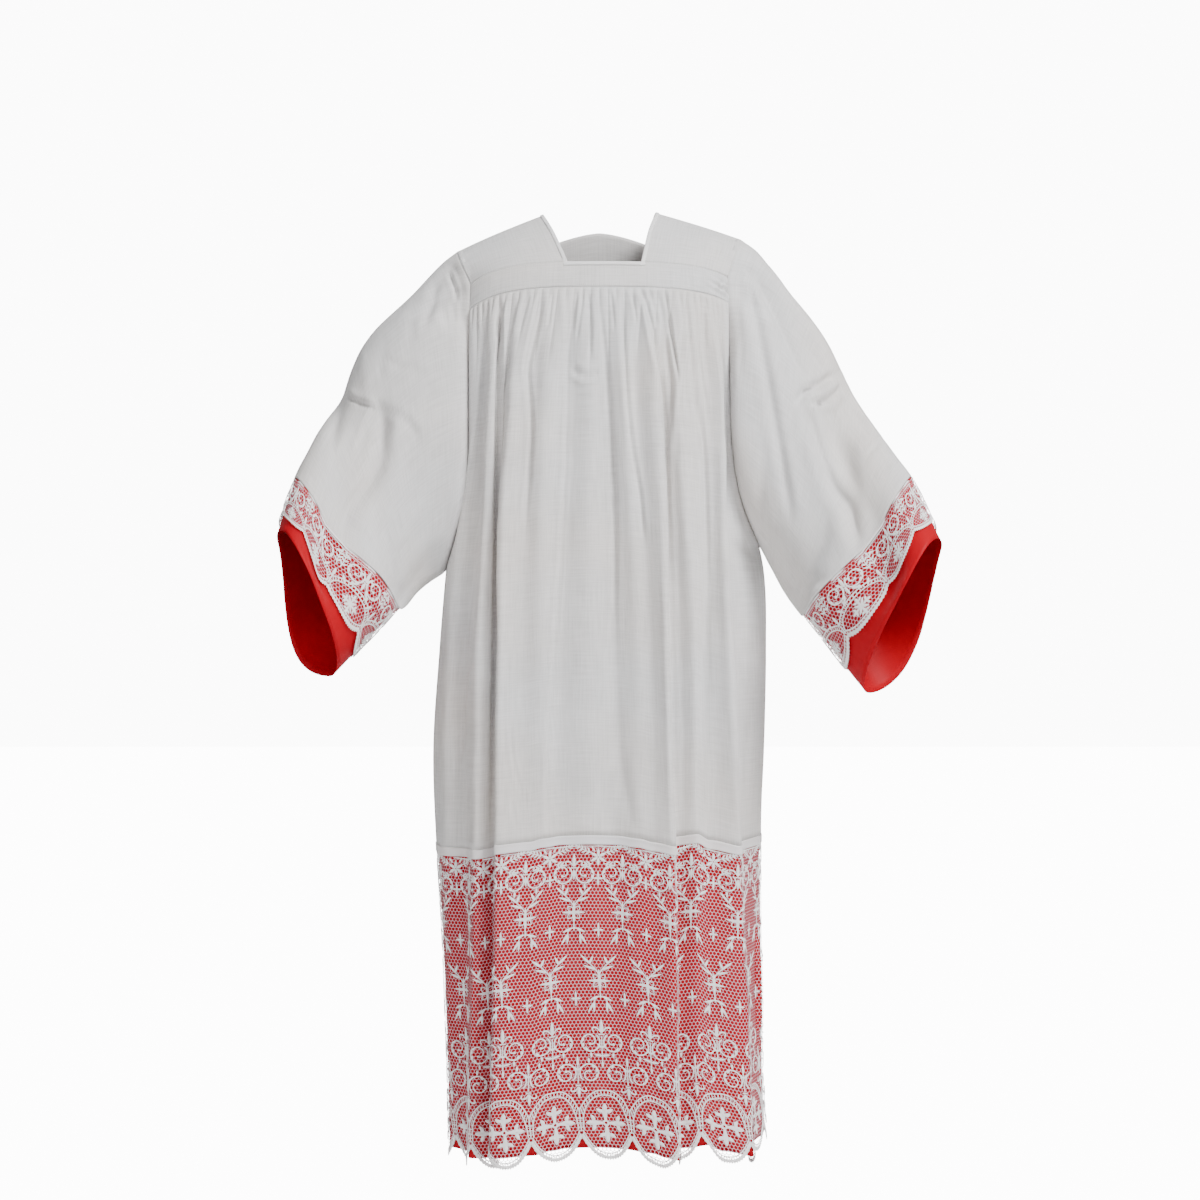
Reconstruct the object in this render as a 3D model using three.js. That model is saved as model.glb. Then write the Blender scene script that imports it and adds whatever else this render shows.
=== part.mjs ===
// A lace alb as it is worn: a white linen robe with a square-necked yoke, gathered front and back
// panels, wide sleeves, and deep scalloped lace at the hem and cuffs over a red lining.
// Millimetres, +Z up. The wearer faces -Y, and the origin lies between the two neck points of the yoke,
// so the wearer's right arm is at -X. The garment is hollow: each piece is a wall of cloth.
import * as THREE from "three";

// ---- Driving dimensions ------------------------------------------------------------------------------
const LINEN = 1.5; // wall of the yoke, panels and sleeves
const LACE = 1.2; // wall of the lace
const LINING = 1.2; // wall of the red lining
const SEAM = 0.35; // gap between two pieces sewn edge to edge, or lying on each other
const HANG = 2.0; // how far behind the lace the lining hangs, below their seam
const FOLD_LINES_FRONT = 19; // spaces between the fold lines of the front, see FRONT
const FOLD_LINES_BACK = 17;
const GATHER_DEPTH = 2.3; // of the fine gathers at the yoke seam
const TUCK_DEPTH = 3.4; // of the longer gathers below them
const YOKE_SEAM_Z = -114; // the gathered seam at the middle of the chest
const YOKE_SEAM_Z_BACK = -150;
const BAND_HEIGHT = 36; // the yoke's front band, up to the neck opening
const BACK_NECK_Z = -14;
const TAPE_Z = -868; // top of the woven tape between linen and lace, at its highest
const TAPE_HEIGHT = 12;
const LACE_DROP = 437; // from the top of the tape to the scallops' tips
const LINING_SHORT = 14; // the skirt lining ends this far above the tips
const SCALLOPS_PANEL = 11; // in the front half of the hem, and in the back half
const SCALLOP_DEPTH = 31;
const SCALLOPS_CUFF = 8;
const CUFF_SCALLOP_DEPTH = 13;
const CUFF_LENGTH = 110; // from the sleeve's lace seam to the lining's mouth
const CUFF_LACE = 0.74; // share of the cuff's length that the lace covers; the lining goes on to the mouth
const NECK_TRIM_WIDTH = 5.5;
const NECK_TRIM = 0.8; // its thickness

// The body's plain form: half width, sideways shift of the middle, depth to the front and to the back.
const SECTIONS = [
  { z: -60, half: 200, shift: 0, front: 84, back: 90 },
  { z: -125, half: 204, shift: 0, front: 101, back: 102 },
  { z: -272, half: 206, shift: 0, front: 115, back: 116 },
  { z: -400, half: 209, shift: 3, front: 122, back: 122 },
  { z: -507, half: 226, shift: 8, front: 128, back: 127 },
  { z: -615, half: 232, shift: 5, front: 132, back: 131 },
  { z: -760, half: 235, shift: -1, front: 138, back: 136 },
  { z: -905, half: 229, shift: -2, front: 143, back: 141 },
  { z: -1115, half: 220, shift: 2, front: 150, back: 148 },
  { z: -1320, half: 222, shift: 14, front: 158, back: 156 },
];

// Fold lines of the front panel from the wearer's right to left, alternately crest and valley. x is where
// the line runs at chest, hip and hem, out is how far it stands off the plain form there, and drop is how
// much lower the seam to the lace hangs on that line.
const LEVELS = { seam: -125, chest: -272, hip: -615, hem: -1221 };
const FRONT = [
  { x: [-171, -208, -203], out: [5, 7, 9], drop: 22 },
  { x: [-159, -186, -187], out: [-3, -5, -3], drop: 22 },
  { x: [-147, -159, -164], out: [9, 13, 20], drop: 22 },
  { x: [-132, -138, -140], out: [-5, -6, -5], drop: 18 },
  { x: [-117, -130, -132], out: [11, 21, 33], drop: 13 },
  { x: [-92, -99, -86], out: [3, 12, 20], drop: 9 },
  { x: [-73, -79, -61], out: [8, 11, 10], drop: 4 },
  { x: [-47, -58, -36], out: [-4, 2, 2], drop: 1 },
  { x: [-14, -17, -11], out: [1, 4, 1], drop: 0 },
  { x: [15, 25, 17], out: [-6, -3, 2], drop: 1 },
  { x: [34, 50, 49], out: [6, 9, 14], drop: 4 },
  { x: [50, 69, 73], out: [3, 11, 22], drop: 9 },
  { x: [74, 92, 97], out: [12, 22, 34], drop: 14 },
  { x: [89, 103, 111], out: [-6, -7, -6], drop: 4 },
  { x: [107, 128, 132], out: [7, 7, 5], drop: 0 },
  { x: [149, 149, 153], out: [-3, 1, 8], drop: 9 },
  { x: [164, 171, 189], out: [10, 19, 29], drop: 17 },
  { x: [174, 188, 206], out: [-3, -5, -3], drop: 16 },
];

// The same for the back panel, from the wearer's left to right.
const BACK = [
  { x: [172, 212, 224], out: [5, 9, 12], drop: 13 },
  { x: [158, 190, 203], out: [-2, -4, -2], drop: 10 },
  { x: [136, 165, 176], out: [9, 17, 27], drop: 13 },
  { x: [116, 145, 157], out: [-4, -5, -4], drop: 7 },
  { x: [90, 112, 120], out: [8, 11, 13], drop: 6 },
  { x: [62, 78, 84], out: [-3, -2, -4], drop: 2 },
  { x: [44, 60, 68], out: [11, 20, 32], drop: 12 },
  { x: [14, 22, 26], out: [1, 6, 10], drop: 6 },
  { x: [-8, -14, -16], out: [-5, -5, -5], drop: 1 },
  { x: [-30, -40, -42], out: [9, 15, 24], drop: 10 },
  { x: [-60, -76, -80], out: [-3, -2, 0], drop: 3 },
  { x: [-86, -96, -98], out: [7, 9, 11], drop: 6 },
  { x: [-112, -124, -125], out: [-5, -6, -6], drop: 4 },
  { x: [-127, -140, -142], out: [10, 19, 31], drop: 15 },
  { x: [-152, -176, -174], out: [-2, 2, 4], drop: 14 },
  { x: [-171, -206, -204], out: [5, 9, 10], drop: 20 },
];

// Per side of the body: how far the yoke seam falls towards the arm, and heights on that side.
const SIDES = {
  right: {
    sign: -1, seamFall: 28, underarm: -505,
    neckX: 79, neckZ: 0, cornerX: 44, shoulder: [202, 4, -52],
  },
  left: {
    sign: 1, seamFall: 18, underarm: -472,
    neckX: 80, neckZ: 3, cornerX: 58, shoulder: [201, 2, -35],
  },
};
const ARMHOLE_ANGLE = 62.5; // where the armhole's edge runs on the body's form, in degrees from the middle
const ARMHOLE_CURVE = 178; // the height over which it rounds to the underarm
const CORNER_FULLNESS = 0.25; // how much fuller than an oval the form is between its front and its sides
const SIDE_RADIUS = 130; // of the form at the side seams, which sets the gap between the panels there
const NECK_BEND = { share: 0.62, half: 190, y: -40 }; // where the neck's edge turns up to the shoulder
const FINE_GATHER = { reach: 26, spread: 34 }; // how far down the fine gathers run, at least and more
const LONG_GATHER = { reach: 90, spread: 110 };

// Rings of each sleeve: its top, front, bottom and back points. The last one is the mouth of the cuff, and
// the one before it the seam to the lace. sag moves the cloth between the bottom and the back point.
const SLEEVES = {
  right: [
    {
      at: 0.09, top: [-224, 4, -69], front: [-190, -82, -285],
      bottom: [-223, -9, -511], back: [-196, 92, -285],
    },
    {
      at: 0.24, top: [-266, 2, -114], front: [-234, -90, -305],
      bottom: [-238, -13, -521], back: [-240, 88, -305],
    },
    {
      at: 0.43, top: [-325, 0, -172], front: [-284, -96, -348],
      bottom: [-255, -24, -536], back: [-288, 80, -348],
    },
    {
      at: 0.62, top: [-367, -5, -244], front: [-318, -108, -396],
      bottom: [-269, -41, -554], back: [-326, 62, -398],
    },
    {
      at: 0.81, top: [-393, -55, -312], front: [-331, -136, -437],
      bottom: [-275, -63, -560], back: [-350, 20, -440],
    },
    {
      at: 1, top: [-420, -110, -379], front: [-337, -165, -472],
      bottom: [-279, -85, -562], back: [-376, -18, -484], sag: [-5, 4, -5],
    },
    {
      at: 2, top: [-433, -185, -452], front: [-366, -228, -552],
      bottom: [-366, -118, -654], back: [-436, -90, -566], sag: [-12, 8, -12],
    },
  ],
  left: [
    {
      at: 0.09, top: [228, 2, -56], front: [190, -88, -270],
      bottom: [232, -12, -479], back: [200, 92, -275],
    },
    {
      at: 0.24, top: [266, 1, -106], front: [232, -96, -300],
      bottom: [244, -26, -506], back: [240, 88, -300],
    },
    {
      at: 0.43, top: [320, 0, -177], front: [285, -100, -350],
      bottom: [263, -38, -542], back: [290, 80, -350],
    },
    {
      at: 0.62, top: [358, -5, -252], front: [322, -111, -403],
      bottom: [280, -50, -566], back: [330, 60, -402],
    },
    {
      at: 0.81, top: [398, -56, -322], front: [338, -141, -443],
      bottom: [283, -68, -569], back: [353, 16, -445],
    },
    {
      at: 1, top: [430, -110, -378], front: [350, -166, -478],
      bottom: [284, -86, -570], back: [382, -20, -488], sag: [5, 4, -5],
    },
    {
      at: 2, top: [462, -185, -464], front: [394, -231, -545],
      bottom: [364, -120, -676], back: [452, -96, -574], sag: [10, 8, -12],
    },
  ],
};

// Troughs and ridges of the sleeves. Each runs from one place to another: at is the way down the sleeve
// (0 armhole, 1 lace seam, 2 mouth), turn the angle from its top over its front, in degrees. out is how far
// it stands off, in mm, and wide how far it spreads to each side, in degrees.
const SLEEVE_FOLDS = {
  right: [
    { at: [0.0, 0.2], turn: [16, 24], out: -5, wide: 6 },
    { at: [0.0, 0.26], turn: [30, 36], out: -7, wide: 6 },
    { at: [0.0, 0.16], turn: [44, 46], out: -5, wide: 6 },
    { at: [0.6, 0.72], turn: [-40, 52], out: -10, wide: 10 },
    { at: [0.55, 0.46], turn: [62, 82], out: -8, wide: 9 },
    { at: [0.62, 1.9], turn: [70, 88], out: -17, wide: 20 },
    { at: [0.3, 1.5], turn: [118, 128], out: 7, wide: 22 },
    { at: [0.1, 0.9], turn: [152, 160], out: -5, wide: 11 },
    { at: [0.2, 1.5], turn: [-60, -78], out: -9, wide: 18 },
    { at: [0.1, 1.2], turn: [-118, -112], out: 8, wide: 16 },
    { at: [0.0, 0.3], turn: [-30, -36], out: -5, wide: 7 },
    { at: [0.4, 1.6], turn: [-148, -140], out: -7, wide: 14 },
  ],
  left: [
    { at: [0.0, 0.16], turn: [40, 44], out: -6, wide: 7 },
    { at: [0.05, 0.9], turn: [20, 92], out: -9, wide: 11 },
    { at: [0.1, 0.5], turn: [8, 30], out: 4, wide: 10 },
    { at: [0.64, 0.56], turn: [14, 84], out: -10, wide: 11 },
    { at: [0.7, 1.95], turn: [72, 96], out: -15, wide: 18 },
    { at: [0.3, 1.4], turn: [124, 132], out: 7, wide: 20 },
    { at: [0.1, 0.8], turn: [146, 156], out: -6, wide: 11 },
    { at: [0.2, 1.5], turn: [-58, -74], out: -9, wide: 17 },
    { at: [0.15, 1.3], turn: [-112, -120], out: 8, wide: 16 },
    { at: [0.0, 0.28], turn: [-26, -34], out: -5, wide: 7 },
    { at: [0.5, 1.7], turn: [-146, -138], out: -8, wide: 13 },
  ],
};

// How the rows of each piece are spread, as shares of its height. The panels' rows run from the yoke seam
// to the underarm, and from there to the tape.
const ROWS_GATHERED = [0, 0.03, 0.09, 0.2];
const ROWS_ARMHOLE = [0.36, 0.54, 0.7, 0.82, 0.92, 1];
const ROWS_BELOW = [0.22, 0.5, 0.76];
const FINE_PER_SPACE = 4;
const COARSE_PER_SPACE = 2;
const LACE_PER_SCALLOP = 4;
const SLEEVE_COLUMNS = 30;
const CUFF_COLUMNS = SCALLOPS_CUFF * 5;
const SLEEVE_ROWS = [0.09, 0.2, 0.32, 0.45, 0.56, 0.66, 0.8, 1];
const SHOULDER_ROWS = [0, 0.12, 0.28, 0.46, 0.64, 0.82, 1]; // along a shoulder piece, front to back

// ---- Small mathematics -------------------------------------------------------------------------------
const rad = (degrees) => (degrees * Math.PI) / 180;
const mix = (a, b, t) => a + (b - a) * t;
const clamp = THREE.MathUtils.clamp;
const smooth = THREE.MathUtils.smoothstep;
const uneven = (i) => {
  const s = Math.sin(i * 12.9898 + 4.1) * 43758.5453;
  return s - Math.floor(s);
};

// A smooth curve through (places[i], values[i]), both in rising order of places.
function through(places, values, at) {
  const last = places.length - 1;
  const slope = (i) => {
    const a = Math.max(i - 1, 0);
    const b = Math.min(i + 1, last);
    return (values[b] - values[a]) / (places[b] - places[a]);
  };
  let i = 0;
  while (i < last - 1 && at > places[i + 1]) i++;
  const width = places[i + 1] - places[i];
  const t = (at - places[i]) / width;
  const t2 = t * t;
  const t3 = t2 * t;
  return (
    values[i] * (2 * t3 - 3 * t2 + 1) +
    slope(i) * width * (t3 - 2 * t2 + t) +
    values[i + 1] * (3 * t2 - 2 * t3) +
    slope(i + 1) * width * (t3 - t2)
  );
}

// ---- The body's form ---------------------------------------------------------------------------------
const DEPTHS = SECTIONS.map((s) => -s.z);
const column = (key) => SECTIONS.map((s) => s[key]);
const HALF = column("half");
const SHIFT = column("shift");
const FRONT_DEPTH = column("front");
const BACK_DEPTH = column("back");

function formAt(z) {
  return {
    half: through(DEPTHS, HALF, -z),
    shift: through(DEPTHS, SHIFT, -z),
    front: through(DEPTHS, FRONT_DEPTH, -z),
    back: through(DEPTHS, BACK_DEPTH, -z),
  };
}

// A point on the form, angle from the middle of that face, moved out by `out`.
function onForm(form, angle, face, out = 0) {
  const depth = face === "front" ? form.front : form.back;
  const towards = face === "front" ? -1 : 1;
  const s = Math.sin(angle);
  const c = Math.cos(angle);
  const normal = new THREE.Vector2(depth * s, form.half * c * towards).normalize();
  return new THREE.Vector2(
    form.shift + form.half * s + normal.x * out,
    towards * depth * c * (1 + CORNER_FULLNESS * s * s) + normal.y * out,
  );
}

// The angle at which a panel's edge runs: the armhole's curve, and below it the side seam.
function edgeAngle(side, z) {
  const t = clamp((side.underarm + ARMHOLE_CURVE - z) / ARMHOLE_CURVE, 0, 1);
  const open = rad(mix(ARMHOLE_ANGLE, 90, 1 - Math.sqrt(1 - t * t)));
  return Math.min(open, rad(90) - (SEAM / 2) / SIDE_RADIUS);
}

const LEVEL_DEPTHS = [-LEVELS.seam, -LEVELS.chest, -LEVELS.hip, -LEVELS.hem];

// The points of a panel's fold lines at height z, in order round the body.
function linePoints(face, z) {
  const form = formAt(z);
  const table = face === "front" ? FRONT : BACK;
  const first = face === "front" ? SIDES.right : SIDES.left;
  const last = face === "front" ? SIDES.left : SIDES.right;
  const spaces = table.length + 1;
  const firstAngle = edgeAngle(first, z) * first.sign;
  const lastAngle = edgeAngle(last, z) * last.sign;
  const seamForm = formAt(LEVELS.seam);
  const points = [onForm(form, firstAngle, face)];
  table.forEach((line, i) => {
    const seamAngle = rad(ARMHOLE_ANGLE) * mix(first.sign, last.sign, (i + 1) / spaces);
    const x = through(LEVEL_DEPTHS, [seamForm.half * Math.sin(seamAngle), ...line.x], -z);
    const out = z > LEVELS.chest
      ? line.out[0] * smooth(-z, -LEVELS.seam - 10, -LEVELS.chest)
      : through(LEVEL_DEPTHS, [0, ...line.out], -z);
    const low = Math.min(firstAngle, lastAngle);
    const high = Math.max(firstAngle, lastAngle);
    const angle = clamp(Math.asin(clamp((x - form.shift) / form.half, -1, 1)), low * 0.985, high * 0.985);
    points.push(onForm(form, angle, face, out));
  });
  points.push(onForm(form, lastAngle, face));
  return points;
}

// The ring round the body at height z, as a curve through all fold lines. `along` counts the spaces between
// lines from the front's first edge; the back starts at FOLD_LINES_FRONT + 1.
const BACK_START = FOLD_LINES_FRONT + 1;
const RING_POINTS = FOLD_LINES_FRONT + FOLD_LINES_BACK + 2;
const ringCache = new Map();
function ring(z) {
  const key = z.toFixed(3);
  if (!ringCache.has(key)) {
    const points = [...linePoints("front", z), ...linePoints("back", z)];
    const curve = new THREE.CatmullRomCurve3(points.map((p) => new THREE.Vector3(p.x, p.y, z)), true);
    ringCache.set(key, curve);
  }
  return ringCache.get(key);
}
const onRing = (along, z) => {
  const turned = ((along % RING_POINTS) + RING_POINTS) % RING_POINTS;
  return ring(z).getPoint(turned / RING_POINTS);
};

// Gathers below the yoke seam: how far the cloth stands off its folds there.
function gather(face, along, below) {
  const local = face === "front" ? along : along - BACK_START;
  const spaces = face === "front" ? FOLD_LINES_FRONT : FOLD_LINES_BACK;
  const toEdge = smooth(Math.min(local, spaces - local), 0, 0.4);
  const fine = Math.floor(local * 2 + 1e-9);
  const long = Math.floor(local + 1e-9);
  const fineReach = FINE_GATHER.reach + FINE_GATHER.spread * uneven(fine + (face === "front" ? 0 : 71));
  const longReach = LONG_GATHER.reach + LONG_GATHER.spread * uneven(long + (face === "front" ? 31 : 113));
  const fineWave = Math.pow(Math.abs(Math.sin(Math.PI * local * 2)), 0.8) * (0.6 + 0.8 * uneven(fine + 7));
  const longWave = Math.pow(Math.abs(Math.sin(Math.PI * local)), 0.8) * (0.6 + 0.8 * uneven(long + 17));
  const fineFade = smooth(below, 0, 5) * (1 - smooth(below, 5, fineReach));
  const longFade = smooth(below, 4, 34) * (1 - smooth(below, 40, longReach));
  return toEdge * (GATHER_DEPTH * fineWave * fineFade + TUCK_DEPTH * longWave * longFade);
}

// ---- Heights of the panel's upper and lower seams ----------------------------------------------------
// share runs from -1 at the wearer's right arm to 1 at the left.
function yokeSeam(share, face) {
  if (face === "back") return YOKE_SEAM_Z_BACK;
  const side = share < 0 ? SIDES.right : SIDES.left;
  return YOKE_SEAM_Z - side.seamFall * Math.pow(Math.abs(share), 3);
}

function shareOf(face, along) {
  if (face === "front") return (2 * along) / FOLD_LINES_FRONT - 1;
  return 1 - (2 * (along - BACK_START)) / FOLD_LINES_BACK;
}

// How much lower than TAPE_Z the tape hangs.
const SIDE_DROP = { right: 22, left: 14 };
const DROPS = [
  ...[SIDE_DROP.right, ...FRONT.map((l) => l.drop), SIDE_DROP.left],
  ...[SIDE_DROP.left, ...BACK.map((l) => l.drop), SIDE_DROP.right],
];
function tapeTop(along) {
  const i = Math.floor(along);
  const t = smooth(along - i, 0, 1);
  return TAPE_Z - mix(DROPS[i % RING_POINTS], DROPS[(i + 1) % RING_POINTS], t);
}

// A point of the cloth, folds and gathers included.
function cloth(face, along, z) {
  const p = onRing(along, z);
  const below = yokeSeam(shareOf(face, along), face) - z;
  const reach = 0.02;
  const ahead = onRing(along + reach, z);
  const behind = onRing(along - reach, z);
  const normal = new THREE.Vector3(ahead.y - behind.y, behind.x - ahead.x, 0).normalize();
  return p.addScaledVector(normal, gather(face, along, below));
}

// ---- Walls -------------------------------------------------------------------------------------------
// A sheet is a list of rows; a row is a list of { at, p, n }: its place along the row, its point and its
// outward normal. The rows may differ in how many points they have. A wall lies between the sheet moved
// out by `outer` and by `inner`, along the normals.
function wall(name, material, rows, outer, inner, closed = false) {
  const positions = [];
  const index = [];
  const layers = [outer, inner].map((move) =>
    rows.map((row) => row.map(({ p, n }) => {
      positions.push(p.x + n.x * move, p.y + n.y * move, p.z + n.z * move);
      return positions.length / 3 - 1;
    })),
  );
  const face = (flip, a, b, c) => (flip ? index.push(a, c, b) : index.push(a, b, c));
  layers.forEach((layer, flip) => {
    for (let j = 0; j < rows.length - 1; j++) {
      stitch(rows[j], rows[j + 1], layer[j], layer[j + 1], closed, (a, b, c) => face(flip, a, b, c));
    }
  });
  const rim = (from, to) => {
    for (let k = 0; k < from.length - 1; k++) {
      index.push(from[k], to[k], to[k + 1], from[k], to[k + 1], from[k + 1]);
    }
  };
  const loop = (ids) => (closed ? [...ids, ids[0]] : ids);
  const [out, back] = layers;
  const last = rows.length - 1;
  rim(loop(back[0]), loop(out[0]));
  rim(loop(out[last]), loop(back[last]));
  if (!closed) {
    rim(out.map((r) => r[0]), back.map((r) => r[0]));
    rim(back.map((r) => r[r.length - 1]), out.map((r) => r[r.length - 1]));
  }
  const geometry = new THREE.BufferGeometry();
  geometry.setAttribute("position", new THREE.Float32BufferAttribute(positions, 3));
  geometry.setIndex(index);
  geometry.computeVertexNormals();
  const mesh = new THREE.Mesh(geometry, material);
  mesh.name = name;
  return mesh;
}

// Triangles between an upper and a lower row, each step taken on the row that lags behind.
function stitch(above, below, idsAbove, idsBelow, closed, add) {
  const place = (row, k) => (k < row.length ? row[k].at : row[0].at + 1e3);
  const lastAbove = closed ? above.length : above.length - 1;
  const lastBelow = closed ? below.length : below.length - 1;
  const endAbove = above[above.length - 1].at;
  const endBelow = below[below.length - 1].at;
  const share = (row, k, end) => (place(row, k) - row[0].at) / (end - row[0].at || 1);
  let i = 0;
  let j = 0;
  while (i < lastAbove || j < lastBelow) {
    const nextAbove = i < lastAbove ? share(above, i + 1, endAbove) : Infinity;
    const nextBelow = j < lastBelow ? share(below, j + 1, endBelow) : Infinity;
    const a = idsAbove[i % above.length];
    const b = idsBelow[j % below.length];
    if (nextAbove <= nextBelow) {
      i++;
      add(a, b, idsAbove[i % above.length]);
    } else {
      j++;
      add(a, b, idsBelow[j % below.length]);
    }
  }
}

const spread = (from, to, count) => Array.from({ length: count + 1 }, (_, i) => mix(from, to, i / count));

// ---- Panels, tape, lace and lining of the body --------------------------------------------------------
const FACES = {
  front: { from: 0, to: FOLD_LINES_FRONT, spaces: FOLD_LINES_FRONT },
  back: { from: BACK_START, to: BACK_START + FOLD_LINES_BACK, spaces: FOLD_LINES_BACK },
};

// The outward direction of the form itself, which the cut edges of the panels keep.
function formNormal(angle, z, face) {
  const form = formAt(z);
  const depth = face === "front" ? form.front : form.back;
  const towards = face === "front" ? -1 : 1;
  return new THREE.Vector3(depth * Math.sin(angle), form.half * Math.cos(angle) * towards, 0).normalize();
}

function clothNormal(face, along, z) {
  const { from, to } = FACES[face];
  if (along === from || along === to) {
    const side = (along === from) === (face === "front") ? SIDES.right : SIDES.left;
    return formNormal(edgeAngle(side, z) * side.sign, z, face);
  }
  const step = 0.03;
  const a = cloth(face, Math.max(along - step, from), z);
  const b = cloth(face, Math.min(along + step, to), z);
  const up = cloth(face, along, z + 2);
  const down = cloth(face, along, z - 2);
  return b.sub(a).cross(up.sub(down)).normalize();
}

const clothPoint = (face, along, z) => (
  { at: along, p: cloth(face, along, z), n: clothNormal(face, along, z) }
);

// Places along a panel that are evenly spaced along the cloth itself at height z, folds included.
function evenPlaces(face, z, count) {
  const { from, to, spaces } = FACES[face];
  const places = spread(from, to, spaces * 12);
  const lengths = [0];
  let before = cloth(face, from, z);
  for (let k = 1; k < places.length; k++) {
    const here = cloth(face, places[k], z);
    lengths.push(lengths[k - 1] + here.distanceTo(before));
    before = here;
  }
  const total = lengths[lengths.length - 1];
  let k = 0;
  return spread(0, total, count).map((wanted) => {
    while (k < lengths.length - 2 && lengths[k + 1] < wanted) k++;
    return mix(places[k], places[k + 1], (wanted - lengths[k]) / (lengths[k + 1] - lengths[k]));
  });
}

// How far above its tips the scalloped edge runs; turn counts the scallops.
function scallop(turn, depth) {
  const t = Math.abs(2 * (turn - Math.floor(turn)) - 1);
  return depth * Math.pow(t, 2.3);
}

// Heights of a panel's rows: part 0 runs from the yoke seam to the underarm, part 1 from there to the tape.
function panelHeight(face, along, part, share) {
  const across = shareOf(face, along);
  const underarm = mix(SIDES.right.underarm, SIDES.left.underarm, (across + 1) / 2);
  if (part === 0) return mix(yokeSeam(across, face), underarm, share);
  return mix(underarm, tapeTop(along) + SEAM, share);
}

function panel(face, material) {
  const { from, to, spaces } = FACES[face];
  const row = (places, part, share) => places.map((along) => (
    clothPoint(face, along, panelHeight(face, along, part, share))
  ));
  const fine = spread(from, to, spaces * FINE_PER_SPACE);
  const coarse = spread(from, to, spaces * COARSE_PER_SPACE);
  const seamPlaces = evenPlaces(face, TAPE_Z, SCALLOPS_PANEL * LACE_PER_SCALLOP);
  const rows = [
    ...ROWS_GATHERED.map((share) => row(fine, 0, share)),
    ...ROWS_ARMHOLE.map((share) => row(coarse, 0, share)),
    ...ROWS_BELOW.map((share) => row(coarse, 1, share)),
    row(seamPlaces, 1, 1),
  ];
  return wall(`panel_${face}`, material, rows, 0, -LINEN);
}

// Rows of the skirt below its seam, with the same piece of cloth in the same column of every row.
function skirtRows(face, heights) {
  const count = SCALLOPS_PANEL * LACE_PER_SCALLOP;
  const top = evenPlaces(face, TAPE_Z, count);
  return heights.map((height) => {
    const places = evenPlaces(face, TAPE_Z - height, count);
    return places.map((along, i) => {
      const level = tapeTop(top[i]) - height;
      return { ...clothPoint(face, along, level), at: i };
    });
  });
}

function tape(face, material) {
  return wall(`tape_${face}`, material, skirtRows(face, [0, TAPE_HEIGHT]), 0, -LINEN);
}

// Lace and lining share their rows, so that they lie on each other. Their lower edges lie between the last
// two rows, each point at its own share of the way.
const SKIRT_ROWS = [TAPE_HEIGHT + SEAM, 150, 280, LACE_DROP - SCALLOP_DEPTH - 12, LACE_DROP];
const LAST_ROW_HEIGHT = SKIRT_ROWS[4] - SKIRT_ROWS[3];

function between(row, next, share) {
  return row.map((point, i) => ({
    at: point.at,
    p: point.p.clone().lerp(next[i].p, share(i)),
    n: point.n.clone().lerp(next[i].n, share(i)).normalize(),
  }));
}

const moved = (row, distance) => row.map((point) => ({
  ...point,
  p: point.p.clone().addScaledVector(point.n, distance),
}));

function skirtLace(face, material) {
  const rows = skirtRows(face, SKIRT_ROWS);
  const tips = rows.pop();
  const share = (i) => 1 - scallop(i / LACE_PER_SCALLOP, SCALLOP_DEPTH) / LAST_ROW_HEIGHT;
  rows.push(between(rows[rows.length - 1], tips, share));
  return wall(`lace_${face}`, material, rows, 0, -LACE);
}

function skirtLining(face, material) {
  const outer = -LINEN - SEAM;
  const rows = skirtRows(face, [0, ...SKIRT_ROWS]);
  const tips = rows.pop();
  rows.push(between(rows[rows.length - 1], tips, () => 1 - LINING_SHORT / LAST_ROW_HEIGHT));
  const hung = rows.map((row, j) => moved(row, j < 2 ? 0 : -HANG));
  return wall(`lining_${face}`, material, hung, outer, outer - LINING);
}

// ---- Yoke --------------------------------------------------------------------------------------------
// The front band runs from armhole to armhole over the gathers, and the back yoke lies across the shoulder
// blades. Places on them are given by share (-1 right arm, 1 left arm) and height.
function onYoke(share, z, face) {
  const p = onForm(formAt(z), rad(ARMHOLE_ANGLE) * share, face);
  return new THREE.Vector3(p.x, p.y, z);
}

function yokeNormal(share, z, face) {
  const across = onYoke(share + 0.01, z, face).sub(onYoke(share - 0.01, z, face));
  const up = onYoke(share, z + 1, face).sub(onYoke(share, z - 1, face));
  return (face === "front" ? across.cross(up) : up.cross(across)).normalize();
}

const shareAt = (x, z) => {
  const form = formAt(z);
  return Math.asin((x - form.shift) / form.half) / rad(ARMHOLE_ANGLE);
};
const BAND_TOP = YOKE_SEAM_Z + BAND_HEIGHT;
const bandTop = (share) => yokeSeam(share, "front") + BAND_HEIGHT;
const backTop = (share) => mix(BACK_NECK_Z, YOKE_SEAM_Z_BACK + 42, Math.pow(Math.abs(share), 1.5));
const NECK_SHARES = [
  shareAt(-SIDES.right.cornerX, BAND_TOP),
  shareAt(SIDES.left.cornerX, BAND_TOP),
];
const BACK_NECK_SHARE = 0.36;

const STRAP_ACROSS = 6;
const BAND_ROWS = [1, 0.5, 0];
const BACK_YOKE_ROWS = [1, 0.66, 0.33, 0];
const SHOULDER_TOP = 0.46; // where a shoulder piece is highest, one of SHOULDER_ROWS

function bandColumns(neckShares) {
  return [
    ...spread(-1, neckShares[0], STRAP_ACROSS),
    ...spread(neckShares[0], neckShares[1], 6).slice(1, -1),
    ...spread(neckShares[1], 1, STRAP_ACROSS),
  ];
}

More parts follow.
